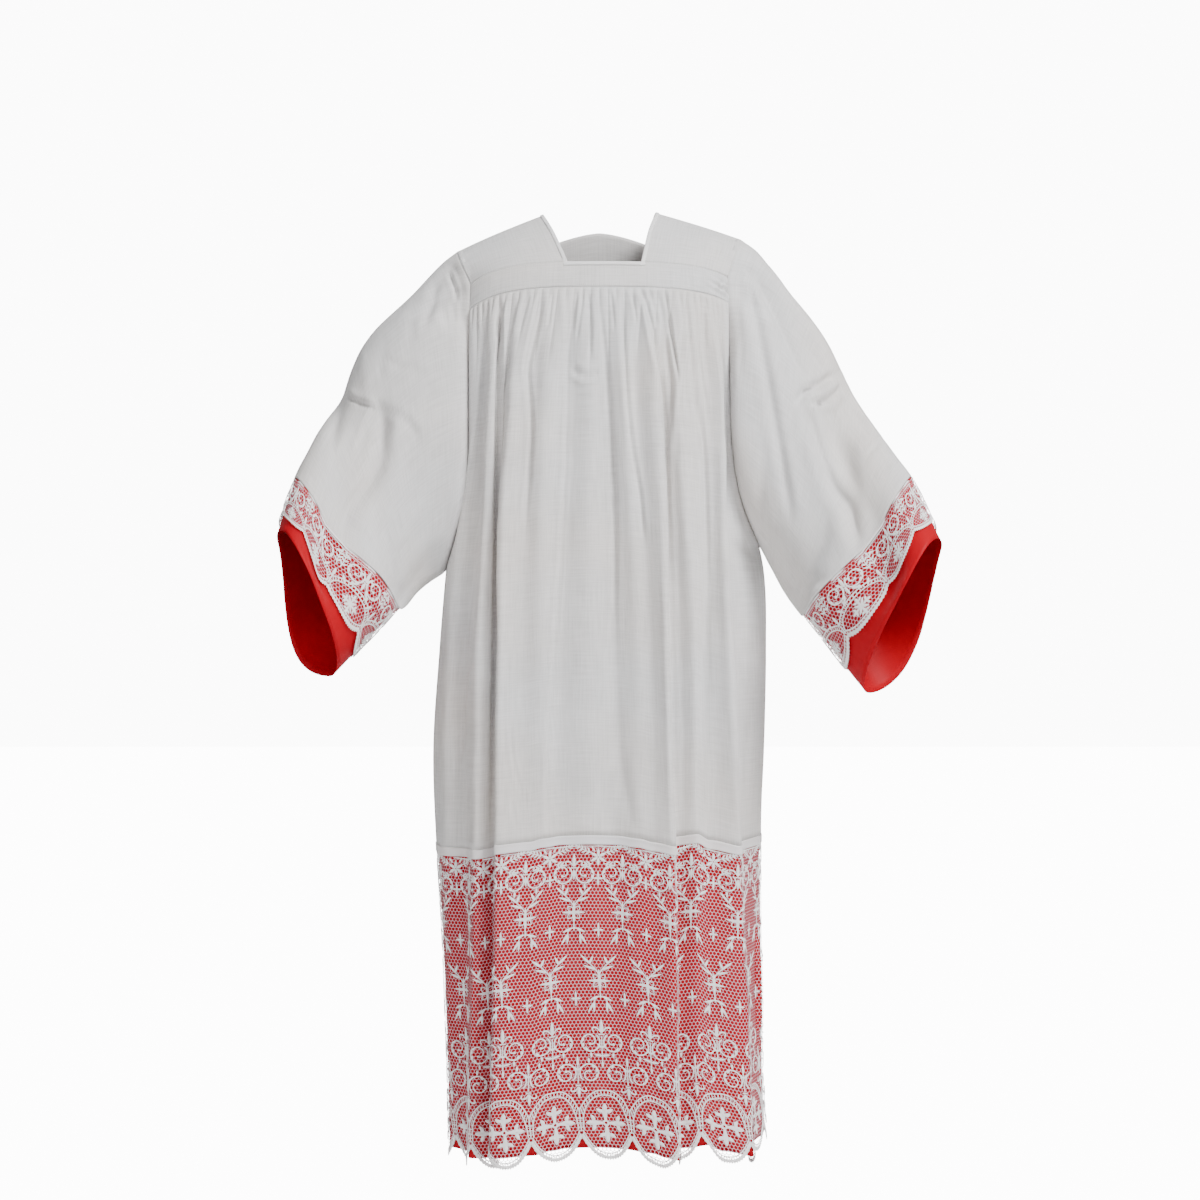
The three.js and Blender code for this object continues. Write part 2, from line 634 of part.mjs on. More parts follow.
function frontBand(material) {
  const columns = bandColumns(NECK_SHARES);
  const rows = BAND_ROWS.map((t) => columns.map((share) => {
    const z = mix(yokeSeam(share, "front") + SEAM, bandTop(share), t);
    return { at: share, p: onYoke(share, z, "front"), n: yokeNormal(share, z, "front") };
  }));
  return wall("yoke_front_band", material, rows, 0, -LINEN);
}

function backYoke(material) {
  const columns = bandColumns([-BACK_NECK_SHARE, BACK_NECK_SHARE]).reverse();
  const rows = BACK_YOKE_ROWS.map((t) => columns.map((share) => {
    const z = mix(YOKE_SEAM_Z_BACK + SEAM, backTop(share), t);
    return { at: -share, p: onYoke(share, z, "back"), n: yokeNormal(share, z, "back") };
  }));
  return wall("yoke_back", material, rows, 0, -LINEN);
}

// A shoulder piece is a patch between four edges: the band, the back yoke, the neck and the armhole.
function shoulderEdges(sideName) {
  const side = SIDES[sideName];
  const neckShare = Math.abs(NECK_SHARES[side.sign < 0 ? 0 : 1]);
  const bandEdge = (r) => {
    const share = side.sign * mix(neckShare, 1, r);
    return onYoke(share, bandTop(share) + SEAM, "front");
  };
  const backEdge = (r) => {
    const share = side.sign * mix(BACK_NECK_SHARE, 1, r);
    return onYoke(share, backTop(share) + SEAM, "back");
  };
  const [sx, sy, sz] = side.shoulder;
  const bendX = mix(neckShare * NECK_BEND.half, side.neckX, NECK_BEND.share);
  const bendZ = mix(BAND_TOP, side.neckZ, NECK_BEND.share);
  const neck = new THREE.CatmullRomCurve3([
    bandEdge(0),
    new THREE.Vector3(side.sign * bendX, NECK_BEND.y, bendZ),
    new THREE.Vector3(side.sign * side.neckX, 4, side.neckZ),
    new THREE.Vector3(side.sign * (side.neckX - 3), 46, side.neckZ - 3),
    backEdge(0),
  ]);
  const arm = new THREE.CatmullRomCurve3([
    bandEdge(1),
    new THREE.Vector3(side.sign * (sx - 6), sy - 38, sz - 18),
    new THREE.Vector3(side.sign * sx, sy, sz),
    new THREE.Vector3(side.sign * (sx - 5), sy + 42, sz - 17),
    backEdge(1),
  ]);
  return { bandEdge, backEdge, neck, arm };
}

function onShoulder(edges, r, t) {
  const { bandEdge, backEdge, neck, arm } = edges;
  const along = neck.getPoint(t).lerp(arm.getPoint(t), r);
  const across = bandEdge(r).lerp(backEdge(r), t);
  const corners = bandEdge(0).lerp(bandEdge(1), r).lerp(backEdge(0).lerp(backEdge(1), r), t);
  return along.add(across.sub(corners).multiplyScalar(1 - 0.8 * Math.sin(Math.PI * t)));
}

function shoulderNormal(edges, r, t, sign) {
  if (t === 0) {
    const share = sign * mix(Math.abs(NECK_SHARES[sign < 0 ? 0 : 1]), 1, r);
    return yokeNormal(share, bandTop(share), "front");
  }
  if (t === 1) {
    const share = sign * mix(BACK_NECK_SHARE, 1, r);
    return yokeNormal(share, backTop(share), "back");
  }
  const h = 0.01;
  const across = onShoulder(edges, Math.min(r + h, 1), t).sub(onShoulder(edges, Math.max(r - h, 0), t));
  const along = onShoulder(edges, r, Math.min(t + h, 1)).sub(onShoulder(edges, r, Math.max(t - h, 0)));
  return (sign < 0 ? along.cross(across) : across.cross(along)).normalize();
}

function shoulderPiece(sideName, material) {
  const { sign } = SIDES[sideName];
  const edges = shoulderEdges(sideName);
  const rows = SHOULDER_ROWS.map((t) => spread(0, 1, STRAP_ACROSS).map((r) => (
    { at: r, p: onShoulder(edges, r, t), n: shoulderNormal(edges, r, t, sign) }
  )));
  rows.reverse();
  const ordered = sign > 0 ? rows : rows.map(flipRow);
  return wall(`yoke_shoulder_${sideName}`, material, ordered, 0, -LINEN);
}

const flipRow = (row) => row.map((point) => ({ ...point, at: -point.at })).reverse();

// The narrow white edging round the neck opening lies on the yoke's own points, a little moved out.
function neckEdging(material) {
  const pair = (edge, inner, n) => {
    const width = NECK_TRIM_WIDTH / edge.distanceTo(inner);
    return { edge: edge.clone(), inner: edge.clone().lerp(inner, width), n };
  };
  const bandStep = (1 - BAND_ROWS[1]) * (BAND_HEIGHT - SEAM);
  const onBand = (share) => {
    const edge = onYoke(share, bandTop(share), "front");
    return pair(edge, onYoke(share, bandTop(share) - bandStep, "front"), yokeNormal(share, edge.z, "front"));
  };
  const onBack = (share) => {
    const top = backTop(share);
    const low = mix(YOKE_SEAM_Z_BACK + SEAM, top, BACK_YOKE_ROWS[1]);
    return pair(onYoke(share, top, "back"), onYoke(share, low, "back"), yokeNormal(share, top, "back"));
  };
  const onStrap = (sideName, t) => {
    const edges = shoulderEdges(sideName);
    const next = onShoulder(edges, 1 / STRAP_ACROSS, t);
    return pair(onShoulder(edges, 0, t), next, shoulderNormal(edges, 0, t, SIDES[sideName].sign));
  };
  const corner = (strap, yoke) => {
    const inner = strap.inner.clone().sub(strap.edge).add(yoke.inner);
    return { edge: yoke.edge, inner, n: yoke.n };
  };
  const [low, high] = NECK_SHARES;
  const frontPairs = spread(low, high, 6).map(onBand);
  const backPairs = spread(BACK_NECK_SHARE, -BACK_NECK_SHARE, 6).map(onBack);
  frontPairs[0] = corner(onStrap("right", 0), frontPairs[0]);
  frontPairs[6] = corner(onStrap("left", 0), frontPairs[6]);
  backPairs[0] = corner(onStrap("left", 1), backPairs[0]);
  backPairs[6] = corner(onStrap("right", 1), backPairs[6]);
  const pairs = [
    ...frontPairs,
    ...SHOULDER_ROWS.map((t) => onStrap("left", t)),
    ...backPairs,
    ...SHOULDER_ROWS.map((t) => onStrap("right", t)).reverse(),
  ];
  const rows = ["edge", "inner"].map((key) => (
    pairs.map((point, i) => ({ at: i, p: point[key], n: point.n }))
  ));
  const clear = SEAM * 1.5;
  return wall("neck_edging", material, rows, clear + NECK_TRIM, clear, true);
}

// ---- Sleeves -----------------------------------------------------------------------------------------
// The armhole's loop is made from the corners of the pieces that it joins, moved clear of them by the seam:
// from the top of the shoulder over the front to the underarm, and the same over the back.
function armholeHalf(sideName, face) {
  const side = SIDES[sideName];
  const edges = shoulderEdges(sideName);
  const { from, to } = FACES[face];
  const edge = (side.sign < 0) === (face === "front") ? from : to;
  const points = [];
  const add = (p, n) => points.push({ p: p.clone(), n });
  const shoulderRows = SHOULDER_ROWS.filter((t) => (
    face === "front" ? t <= SHOULDER_TOP : t >= SHOULDER_TOP
  ));
  if (face === "front") shoulderRows.reverse();
  shoulderRows.forEach((t) => add(onShoulder(edges, 1, t), shoulderNormal(edges, 1, t, side.sign)));
  const yokeTop = face === "front" ? bandTop(side.sign) : backTop(side.sign);
  const yokeLow = yokeSeam(side.sign, face) + SEAM;
  const yokeRows = face === "front" ? BAND_ROWS : BACK_YOKE_ROWS;
  yokeRows.forEach((t) => {
    const z = mix(yokeLow, yokeTop, t);
    add(onYoke(side.sign, z, face), yokeNormal(side.sign, z, face));
  });
  [...ROWS_GATHERED, ...ROWS_ARMHOLE].forEach((share) => {
    const z = panelHeight(face, edge, 0, share);
    add(cloth(face, edge, z), clothNormal(face, edge, z));
  });
  const low = points[points.length - 1];
  low.p.setY(0);
  low.n.set(side.sign, 0, 0);
  const middle = points[0].p.clone().lerp(low.p, 0.5);
  return points.map(({ p, n }, i) => {
    const before = points[Math.max(i - 1, 0)].p;
    const after = points[Math.min(i + 1, points.length - 1)].p;
    const away = after.clone().sub(before).cross(n).normalize();
    const inward = middle.clone().sub(p).normalize().multiplyScalar(0.8);
    inward.x += side.sign;
    if (i === points.length - 1) away.set(0, 0, 1);
    return { p: p.clone().addScaledVector(away, SEAM * 2.2 * Math.sign(away.dot(inward))), n };
  });
}

// The loop as points with their turn: 0 at the top of the shoulder, PI at the underarm, over the front.
function loopOf(sideName) {
  const lengthsOf = (points) => {
    const lengths = [0];
    for (let k = 1; k < points.length; k++) {
      lengths.push(lengths[k - 1] + points[k].p.distanceTo(points[k - 1].p));
    }
    return lengths.map((length) => length / lengths[lengths.length - 1]);
  };
  const halves = ["front", "back"].map((face) => {
    const points = armholeHalf(sideName, face);
    return { points, places: lengthsOf(points) };
  });
  const [front, back] = halves;
  const overFront = front.points.map((point, i) => ({ ...point, at: front.places[i] * Math.PI }));
  const overBack = back.points.map((point, i) => ({ ...point, at: (2 - back.places[i]) * Math.PI }));
  const ring = [...overFront, ...overBack.slice(1, -1).reverse()];
  const at = (turn) => {
    const full = ((turn / Math.PI) % 2 + 2) % 2;
    const { points, places } = halves[full <= 1 ? 0 : 1];
    const place = full <= 1 ? full : 2 - full;
    let k = 0;
    while (k < places.length - 2 && places[k + 1] < place) k++;
    const t = (place - places[k]) / (places[k + 1] - places[k]);
    return { p: points[k].p.clone().lerp(points[k + 1].p, t) };
  };
  return { ring, at };
}

// A point of the sleeve's plain form: at counts from the armhole, turn is the angle from its top.
function sleeveForm(sideName, loop, at, turn) {
  const stations = SLEEVES[sideName];
  const places = [0, ...stations.map((s) => s.at)];
  const cardinal = (key, zero) => [0, 1, 2].map((axis) => (
    through(places, [zero.getComponent(axis), ...stations.map((s) => s[key][axis])], at)
  ));
  const c = Math.cos(turn);
  const s = Math.sin(turn);
  const lowLoop = loop.at(turn);
  const quarter = [0, 0.5, 1, 1.5].map((q) => loop.at(q * Math.PI).p);
  const [top, front, bottom, back] = ["top", "front", "bottom", "back"].map(
    (key, i) => cardinal(key, quarter[i]),
  );
  const oval = (a, b, d, e) => (
    0.5 * (a + d) + 0.5 * (a - d) * c + 0.5 * (b - e) * s + 0.5 * (b + e - a - d) * s * s
  );
  const point = new THREE.Vector3(...[0, 1, 2].map((i) => oval(top[i], front[i], bottom[i], back[i])));
  const [q0, q1, q2, q3] = quarter.map((q) => [q.x, q.y, q.z]);
  const loopOval = new THREE.Vector3(...[0, 1, 2].map((i) => oval(q0[i], q1[i], q2[i], q3[i])));
  const fade = Math.pow(1 - clamp(at / 0.3, 0, 1), 2);
  const sag = [0, 1, 2].map((axis) => (
    through(places, [0, ...stations.map((station) => (station.sag ? station.sag[axis] : 0))], at)
  ));
  point.addScaledVector(new THREE.Vector3(...sag), Math.max(0, -s) * Math.sin(2 * turn));
  return point.add(lowLoop.p.clone().sub(loopOval).multiplyScalar(fade));
}

// How far a sleeve's folds stand off at a place.
function sleeveOut(sideName, at, turn) {
  let degrees = ((turn * 180) / Math.PI + 180) % 360 - 180;
  if (degrees < -180) degrees += 360;
  let out = 0;
  for (const fold of SLEEVE_FOLDS[sideName]) {
    const from = new THREE.Vector2(fold.at[0] * 100, fold.turn[0]);
    const to = new THREE.Vector2(fold.at[1] * 100, fold.turn[1]);
    const here = new THREE.Vector2(at * 100, degrees);
    const way = to.clone().sub(from);
    const t = clamp(here.clone().sub(from).dot(way) / way.lengthSq(), 0, 1);
    const off = here.distanceTo(from.addScaledVector(way, t)) / fold.wide;
    const ends = smooth(Math.min(t, 1 - t), -0.05, 0.22);
    out += fold.out * ends * Math.exp(-off * off);
  }
  return out * smooth(at, 0, 0.06);
}

function sleevePoint(sideName, loop, at, turn) {
  const plain = (a, r) => sleeveForm(sideName, loop, a, r);
  const normalOf = (point) => {
    const alongWay = point(Math.min(at + 0.01, 2), turn).sub(point(Math.max(at - 0.01, 0), turn));
    const roundWay = point(at, turn + 0.02).sub(point(at, turn - 0.02));
    return roundWay.cross(alongWay).multiplyScalar(SIDES[sideName].sign).normalize();
  };
  const n = normalOf(plain);
  const folded = (a, r) => plain(a, r).addScaledVector(n, sleeveOut(sideName, a, r));
  return { p: folded(at, turn), n: normalOf(folded) };
}

const inOrder = (sideName, row) => (SIDES[sideName].sign < 0 ? row : flipRow(row));

function sleeveRow(sideName, loop, at, columns) {
  const row = Array.from({ length: columns }, (_, i) => {
    const turn = (2 * Math.PI * i) / columns;
    return { at: turn, ...sleevePoint(sideName, loop, at, turn) };
  });
  return inOrder(sideName, row);
}

function sleeve(sideName, loop, material) {
  const end = 1 - SEAM / CUFF_LENGTH;
  const rows = SLEEVE_ROWS.map((at) => {
    const columns = at === 1 ? CUFF_COLUMNS : SLEEVE_COLUMNS;
    return sleeveRow(sideName, loop, at * end, columns);
  });
  return wall(`sleeve_${sideName}`, material, [inOrder(sideName, loop.ring), ...rows], 0, -LINEN, true);
}

// The cuff's rows are counted from the lace seam (0) to the mouth (1). Lace and lining share them.
const CUFF_ROWS = [SEAM / CUFF_LENGTH, 0.48, CUFF_LACE];
const cuffRow = (sideName, loop, share) => sleeveRow(sideName, loop, 1 + share, CUFF_COLUMNS);

function cuffLace(sideName, loop, material) {
  const rows = CUFF_ROWS.map((share) => cuffRow(sideName, loop, share));
  const tips = rows.pop();
  const height = (CUFF_ROWS[2] - CUFF_ROWS[1]) * CUFF_LENGTH;
  const turns = (i) => (i * SCALLOPS_CUFF) / CUFF_COLUMNS;
  rows.push(between(rows[1], tips, (i) => 1 - scallop(turns(i), CUFF_SCALLOP_DEPTH) / height));
  return wall(`cuff_lace_${sideName}`, material, rows, 0, -LACE, true);
}

function cuffLining(sideName, loop, material) {
  const outer = -LACE - SEAM;
  const rows = [...CUFF_ROWS, 1].map((share) => cuffRow(sideName, loop, share));
  const hung = rows.map((row, j) => moved(row, j < 1 ? 0 : -HANG));
  return wall(`cuff_lining_${sideName}`, material, hung, outer, outer - LINING, true);
}

// ---- The garment -------------------------------------------------------------------------------------
const linen = new THREE.MeshStandardMaterial({ color: 0xeeedec, roughness: 0.9, metalness: 0 });
const laceWhite = new THREE.MeshStandardMaterial({ color: 0xf6f4f2, roughness: 0.85, metalness: 0 });
const satinRed = new THREE.MeshStandardMaterial({ color: 0xc00018, roughness: 0.5, metalness: 0 });

const alb = new THREE.Group();
for (const face of ["front", "back"]) {
  alb.add(
    panel(face, linen),
    tape(face, laceWhite),
    skirtLace(face, laceWhite),
    skirtLining(face, satinRed),
  );
}
alb.add(frontBand(linen), backYoke(linen), neckEdging(linen));
for (const sideName of ["right", "left"]) {
  const loop = loopOf(sideName);
  alb.add(
    shoulderPiece(sideName, linen),
    sleeve(sideName, loop, linen),
    cuffLace(sideName, loop, laceWhite),
    cuffLining(sideName, loop, satinRed),
  );
}

export default alb;
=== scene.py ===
import math
from collections import namedtuple

import bpy
import numpy as np
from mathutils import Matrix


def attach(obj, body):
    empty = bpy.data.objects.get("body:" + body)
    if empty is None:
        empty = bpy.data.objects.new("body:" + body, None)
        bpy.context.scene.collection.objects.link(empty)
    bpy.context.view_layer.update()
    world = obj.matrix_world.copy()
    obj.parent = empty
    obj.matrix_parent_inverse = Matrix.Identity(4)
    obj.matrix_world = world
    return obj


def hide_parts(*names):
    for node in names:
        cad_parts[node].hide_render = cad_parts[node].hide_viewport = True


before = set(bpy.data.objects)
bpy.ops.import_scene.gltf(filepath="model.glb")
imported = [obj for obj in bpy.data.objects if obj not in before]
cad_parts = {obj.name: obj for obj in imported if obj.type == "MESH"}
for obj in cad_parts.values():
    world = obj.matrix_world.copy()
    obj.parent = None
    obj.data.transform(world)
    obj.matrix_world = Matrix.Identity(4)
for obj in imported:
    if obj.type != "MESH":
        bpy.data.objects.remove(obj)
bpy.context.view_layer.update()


# ---- Studio -------------------------------------------------------------------------------------------
# A pale floor well below the hem, a long lens level with the alb's middle, and four large soft boxes:
# the main one high on the wearer's left, weaker ones on the right and low down, and one behind.
AIR_LIGHT = 0.36
BACKDROP_LIGHT = 14.0
FLOOR_Z = -1.45
FLOOR_SHADE = 0.93


def placed(name, data):
    thing = bpy.data.objects.new(name, data)
    bpy.context.scene.collection.objects.link(thing)
    return thing


def node(tree, kind, inputs=None, **settings):
    """A new node with its settings; each input is a plain value or another node's output."""
    made = tree.nodes.new(kind)
    for key, value in settings.items():
        setattr(made, key, value)
    for key, value in (inputs or {}).items():
        if isinstance(value, bpy.types.NodeSocket):
            tree.links.new(value, made.inputs[key])
        else:
            made.inputs[key].default_value = value
    return made


camera_data = bpy.data.cameras.new("studio_camera")
camera_data.sensor_width = 36
camera_data.lens = 76.06
camera = placed("studio_camera", camera_data)
camera.location = (0.001, -3.6, -0.547)
camera.rotation_euler = (math.radians(90), 0, 0)
bpy.context.scene.camera = camera

# the air gives a weak even light, and shows behind the alb as a bright white backdrop
world = bpy.data.worlds.new("studio_air")
world.use_nodes = True
air = world.node_tree
air_light = air.nodes["Background"]
air_light.inputs["Color"].default_value = (1.0, 1.0, 1.0, 1)
air_light.inputs["Strength"].default_value = AIR_LIGHT
backdrop = node(air, "ShaderNodeBackground", {"Strength": BACKDROP_LIGHT})
seen = node(air, "ShaderNodeLightPath").outputs["Is Camera Ray"]
either = node(air, "ShaderNodeMixShader", {0: seen, 1: air_light.outputs[0], 2: backdrop.outputs[0]})
air.links.new(either.outputs[0], air.nodes["World Output"].inputs["Surface"])
bpy.context.scene.world = world

SoftBox = namedtuple("SoftBox", "name place aim size watts")
SOFT_BOXES = [
    SoftBox("main_box", (2.0, -2.2, 2.5), (0, 0, -0.55), 1.3, 285),
    SoftBox("fill_box", (-2.6, -2.8, 0.5), (0, 0, -0.6), 2.0, 26),
    SoftBox("hem_box", (0.9, -3.4, -0.9), (0, 0, -1.1), 1.6, 17),
    SoftBox("rim_box", (-0.6, 2.6, 1.6), (0, 0, -0.4), 2.0, 20),
]
for soft_box in SOFT_BOXES:
    lamp = bpy.data.lights.new(soft_box.name, "AREA")
    lamp.shape = "SQUARE"
    lamp.size = soft_box.size
    lamp.energy = soft_box.watts
    lamp_object = placed(soft_box.name, lamp)
    lamp_object.location = soft_box.place
    away = np.array(soft_box.place) - np.array(soft_box.aim)
    lamp_object.rotation_euler = (
        math.acos(away[2] / np.linalg.norm(away)), 0, math.atan2(away[1], away[0]) + math.pi / 2)

floor_mesh = bpy.data.meshes.new("studio_floor")
floor_corners = [(x, y, FLOOR_Z) for x, y in ((-9, -6), (9, -6), (9, 12), (-9, 12))]
floor_mesh.from_pydata(floor_corners, [], [(0, 1, 2, 3)])
studio_floor = placed("studio_floor", floor_mesh)
floor_paint = bpy.data.materials.new("floor_paint")
floor_paint.use_nodes = True
floor_tree = floor_paint.node_tree
floor_shader = floor_tree.nodes["Principled BSDF"]
floor_shader.inputs["Base Color"].default_value = (FLOOR_SHADE, FLOOR_SHADE, FLOOR_SHADE, 1)
floor_shader.inputs["Roughness"].default_value = 0.9
floor_glow = node(floor_tree, "ShaderNodeEmission", {"Strength": BACKDROP_LIGHT})
floor_seen = node(floor_tree, "ShaderNodeLightPath").outputs["Is Camera Ray"]
floor_share = node(floor_tree, "ShaderNodeMath", {0: floor_seen, 1: FLOOR_SHADE}, operation="MULTIPLY")
floor_mix = node(floor_tree, "ShaderNodeMixShader",
                 {0: floor_share.outputs[0], 1: floor_shader.outputs[0], 2: floor_glow.outputs[0]})
floor_tree.links.new(floor_mix.outputs[0], floor_tree.nodes["Material Output"].inputs["Surface"])
floor_mesh.materials.append(floor_paint)


# ---- Front and back panels ----------------------------------------------------------------------------
# Two widths of plain white linen, gathered by hand into the yoke and left to fall in long folds to the
# lace. They are sewn to each other at the sides below the armholes.
SEAM = 0.35
GATHER_DEPTH = 2.3
TUCK_DEPTH = 3.4
YOKE_SEAM_Z = -114
YOKE_SEAM_Z_BACK = -150
BAND_HEIGHT = 36
BACK_NECK_Z = -14
TAPE_Z = -868
ARMHOLE_ANGLE = math.radians(62.5)
ARMHOLE_CURVE = 178
SCALLOPS_PANEL = 11

BodySection = namedtuple("BodySection", "z half shift front back")
SECTIONS = [
    BodySection(-60, 200, 0, 84, 90),
    BodySection(-125, 204, 0, 101, 102),
    BodySection(-272, 206, 0, 115, 116),
    BodySection(-400, 209, 3, 122, 122),
    BodySection(-507, 226, 8, 128, 127),
    BodySection(-615, 232, 5, 132, 131),
    BodySection(-760, 235, -1, 138, 136),
    BodySection(-905, 229, -2, 143, 141),
    BodySection(-1115, 220, 2, 150, 148),
    BodySection(-1320, 222, 14, 158, 156),
]

# Fold lines, alternately crest and valley: where each runs at chest, hip and hem, how far it stands off
# the plain form there, and how much lower the seam to the lace hangs on it.
FoldLine = namedtuple("FoldLine", "x out drop")
FRONT = [
    FoldLine((-171, -208, -203), (5, 7, 9), 22),
    FoldLine((-159, -186, -187), (-3, -5, -3), 22),
    FoldLine((-147, -159, -164), (9, 13, 20), 22),
    FoldLine((-132, -138, -140), (-5, -6, -5), 18),
    FoldLine((-117, -130, -132), (11, 21, 33), 13),
    FoldLine((-92, -99, -86), (3, 12, 20), 9),
    FoldLine((-73, -79, -61), (8, 11, 10), 4),
    FoldLine((-47, -58, -36), (-4, 2, 2), 1),
    FoldLine((-14, -17, -11), (1, 4, 1), 0),
    FoldLine((15, 25, 17), (-6, -3, 2), 1),
    FoldLine((34, 50, 49), (6, 9, 14), 4),
    FoldLine((50, 69, 73), (3, 11, 22), 9),
    FoldLine((74, 92, 97), (12, 22, 34), 14),
    FoldLine((89, 103, 111), (-6, -7, -6), 4),
    FoldLine((107, 128, 132), (7, 7, 5), 0),
    FoldLine((149, 149, 153), (-3, 1, 8), 9),
    FoldLine((164, 171, 189), (10, 19, 29), 17),
    FoldLine((174, 188, 206), (-3, -5, -3), 16),
]
BACK = [
    FoldLine((172, 212, 224), (5, 9, 12), 13),
    FoldLine((158, 190, 203), (-2, -4, -2), 10),
    FoldLine((136, 165, 176), (9, 17, 27), 13),
    FoldLine((116, 145, 157), (-4, -5, -4), 7),
    FoldLine((90, 112, 120), (8, 11, 13), 6),
    FoldLine((62, 78, 84), (-3, -2, -4), 2),
    FoldLine((44, 60, 68), (11, 20, 32), 12),
    FoldLine((14, 22, 26), (1, 6, 10), 6),
    FoldLine((-8, -14, -16), (-5, -5, -5), 1),
    FoldLine((-30, -40, -42), (9, 15, 24), 10),
    FoldLine((-60, -76, -80), (-3, -2, 0), 3),
    FoldLine((-86, -96, -98), (7, 9, 11), 6),
    FoldLine((-112, -124, -125), (-5, -6, -6), 4),
    FoldLine((-127, -140, -142), (10, 19, 31), 15),
    FoldLine((-152, -176, -174), (-2, 2, 4), 14),
    FoldLine((-171, -206, -204), (5, 9, 10), 20),
]
FOLD_SPACES = {"front": len(FRONT) + 1, "back": len(BACK) + 1}
FOLD_START = {"front": 0, "back": len(FRONT) + 2}
RING_POINTS = len(FRONT) + len(BACK) + 4
SEAM_LEVEL, CHEST_LEVEL, HIP_LEVEL, HEM_LEVEL = 125, 272, 615, 1221

Side = namedtuple("Side", "sign seam_fall underarm neck_z neck_x corner_x shoulder drop")
SIDES = {
    "right": Side(-1, 28, -505, 0, 79, 44, (202, 4, -52), 22),
    "left": Side(1, 18, -472, 3, 80, 58, (201, 2, -35), 14),
}


def mix(a, b, t):
    return a + (b - a) * t


def smooth(x, low, high):
    t = np.clip((np.asarray(x, float) - low) / (high - low), 0, 1)
    return t * t * (3 - 2 * t)


def unit(ways):
    return ways / np.maximum(np.linalg.norm(ways, axis=-1, keepdims=True), 1e-9)


def uneven(i):
    s = np.sin(np.asarray(i, float) * 12.9898 + 4.1) * 43758.5453
    return s - np.floor(s)


def through(places, values, at):
    """A smooth curve through values at rising places, for one number or many."""
    places = np.asarray(places, float)
    values = np.asarray(values, float)
    at = np.asarray(at, float)
    last = len(places) - 1
    i = np.clip(np.searchsorted(places, at, side="left") - 1, 0, last - 1)
    ahead = np.minimum(np.arange(last + 1) + 1, last)
    behind = np.maximum(np.arange(last + 1) - 1, 0)
    slope = (values[ahead] - values[behind]) / (places[ahead] - places[behind])
    width = places[i + 1] - places[i]
    t = (at - places[i]) / width
    t2, t3 = t * t, t * t * t
    return (values[i] * (2 * t3 - 3 * t2 + 1) + slope[i] * width * (t3 - 2 * t2 + t)
            + values[i + 1] * (3 * t2 - 2 * t3) + slope[i + 1] * width * (t3 - t2))


def between(p0, p1, p2, p3, t):
    """The smooth curve's way from p1 to p2 at share t, with p0 before it and p3 after it."""
    d0, d1, d2 = [np.maximum(np.linalg.norm(b - a, axis=-1, keepdims=True) ** 0.5, 1e-4)
                  for a, b in ((p0, p1), (p1, p2), (p2, p3))]
    m1 = ((p1 - p0) / d0 - (p2 - p0) / (d0 + d1) + (p2 - p1) / d1) * d1
    m2 = ((p2 - p1) / d1 - (p3 - p1) / (d1 + d2) + (p3 - p2) / d2) * d1
    t2, t3 = t * t, t * t * t
    return p1 * (2 * t3 - 3 * t2 + 1) + m1 * (t3 - 2 * t2 + t) + p2 * (3 * t2 - 2 * t3) + m2 * (t3 - t2)


def run_of(points):
    """How far along a line each of its points lies."""
    return np.concatenate([[0], np.cumsum(np.linalg.norm(np.diff(points, axis=0), axis=1))])


def form_at(z):
    depths = [-s.z for s in SECTIONS]
    return [through(depths, [getattr(s, key) for s in SECTIONS], -np.asarray(z, float))
            for key in ("half", "shift", "front", "back")]


def on_form(z, angle, face, out=0.0):
    half, shift, front, back = form_at(z)
    depth = front if face == "front" else back
    towards = -1 if face == "front" else 1
    s, c = np.sin(angle), np.cos(angle)
    nx, ny = depth * s, half * c * towards
    size = np.hypot(nx, ny)
    return np.stack([shift + half * s + nx / size * out,
                     towards * depth * c * (1 + 0.25 * s * s) + ny / size * out], -1)


def edge_angle(side, z):
    t = np.clip((side.underarm + ARMHOLE_CURVE - z) / ARMHOLE_CURVE, 0, 1)
    opened = mix(ARMHOLE_ANGLE, math.pi / 2, 1 - np.sqrt(1 - t * t))
    return np.minimum(opened, math.pi / 2 - SEAM / 2 / 130)


def fold_points(face, z):
    """The points of one panel's fold lines at height z, between its two edges."""
    lines = FRONT if face == "front" else BACK
    first, last = (SIDES["right"], SIDES["left"]) if face == "front" else (SIDES["left"], SIDES["right"])
    half, shift = form_at(z)[:2]
    seam_half = form_at(-SEAM_LEVEL)[0]
    ends = [float(edge_angle(side, z)) * side.sign for side in (first, last)]
    points = [on_form(z, ends[0], face)]
    levels = (SEAM_LEVEL, CHEST_LEVEL, HIP_LEVEL, HEM_LEVEL)
    for i, line in enumerate(lines):
        seam_angle = ARMHOLE_ANGLE * mix(first.sign, last.sign, (i + 1) / (len(lines) + 1))
        x = through(levels, (seam_half * math.sin(seam_angle), *line.x), -z)
        if z > -CHEST_LEVEL:
            out = line.out[0] * smooth(-z, SEAM_LEVEL - 10, CHEST_LEVEL)
        else:
            out = through(levels, (0, *line.out), -z)
        angle = math.asin(np.clip((x - shift) / half, -1, 1))
        angle = np.clip(angle, min(ends) * 0.985, max(ends) * 0.985)
        points.append(on_form(z, angle, face, out))
    points.append(on_form(z, ends[1], face))
    return points


RING_STEP = 4.0
RING_HEIGHTS = np.arange(-52, -1352, -RING_STEP)
RINGS = np.array([fold_points("front", z) + fold_points("back", z) for z in RING_HEIGHTS])


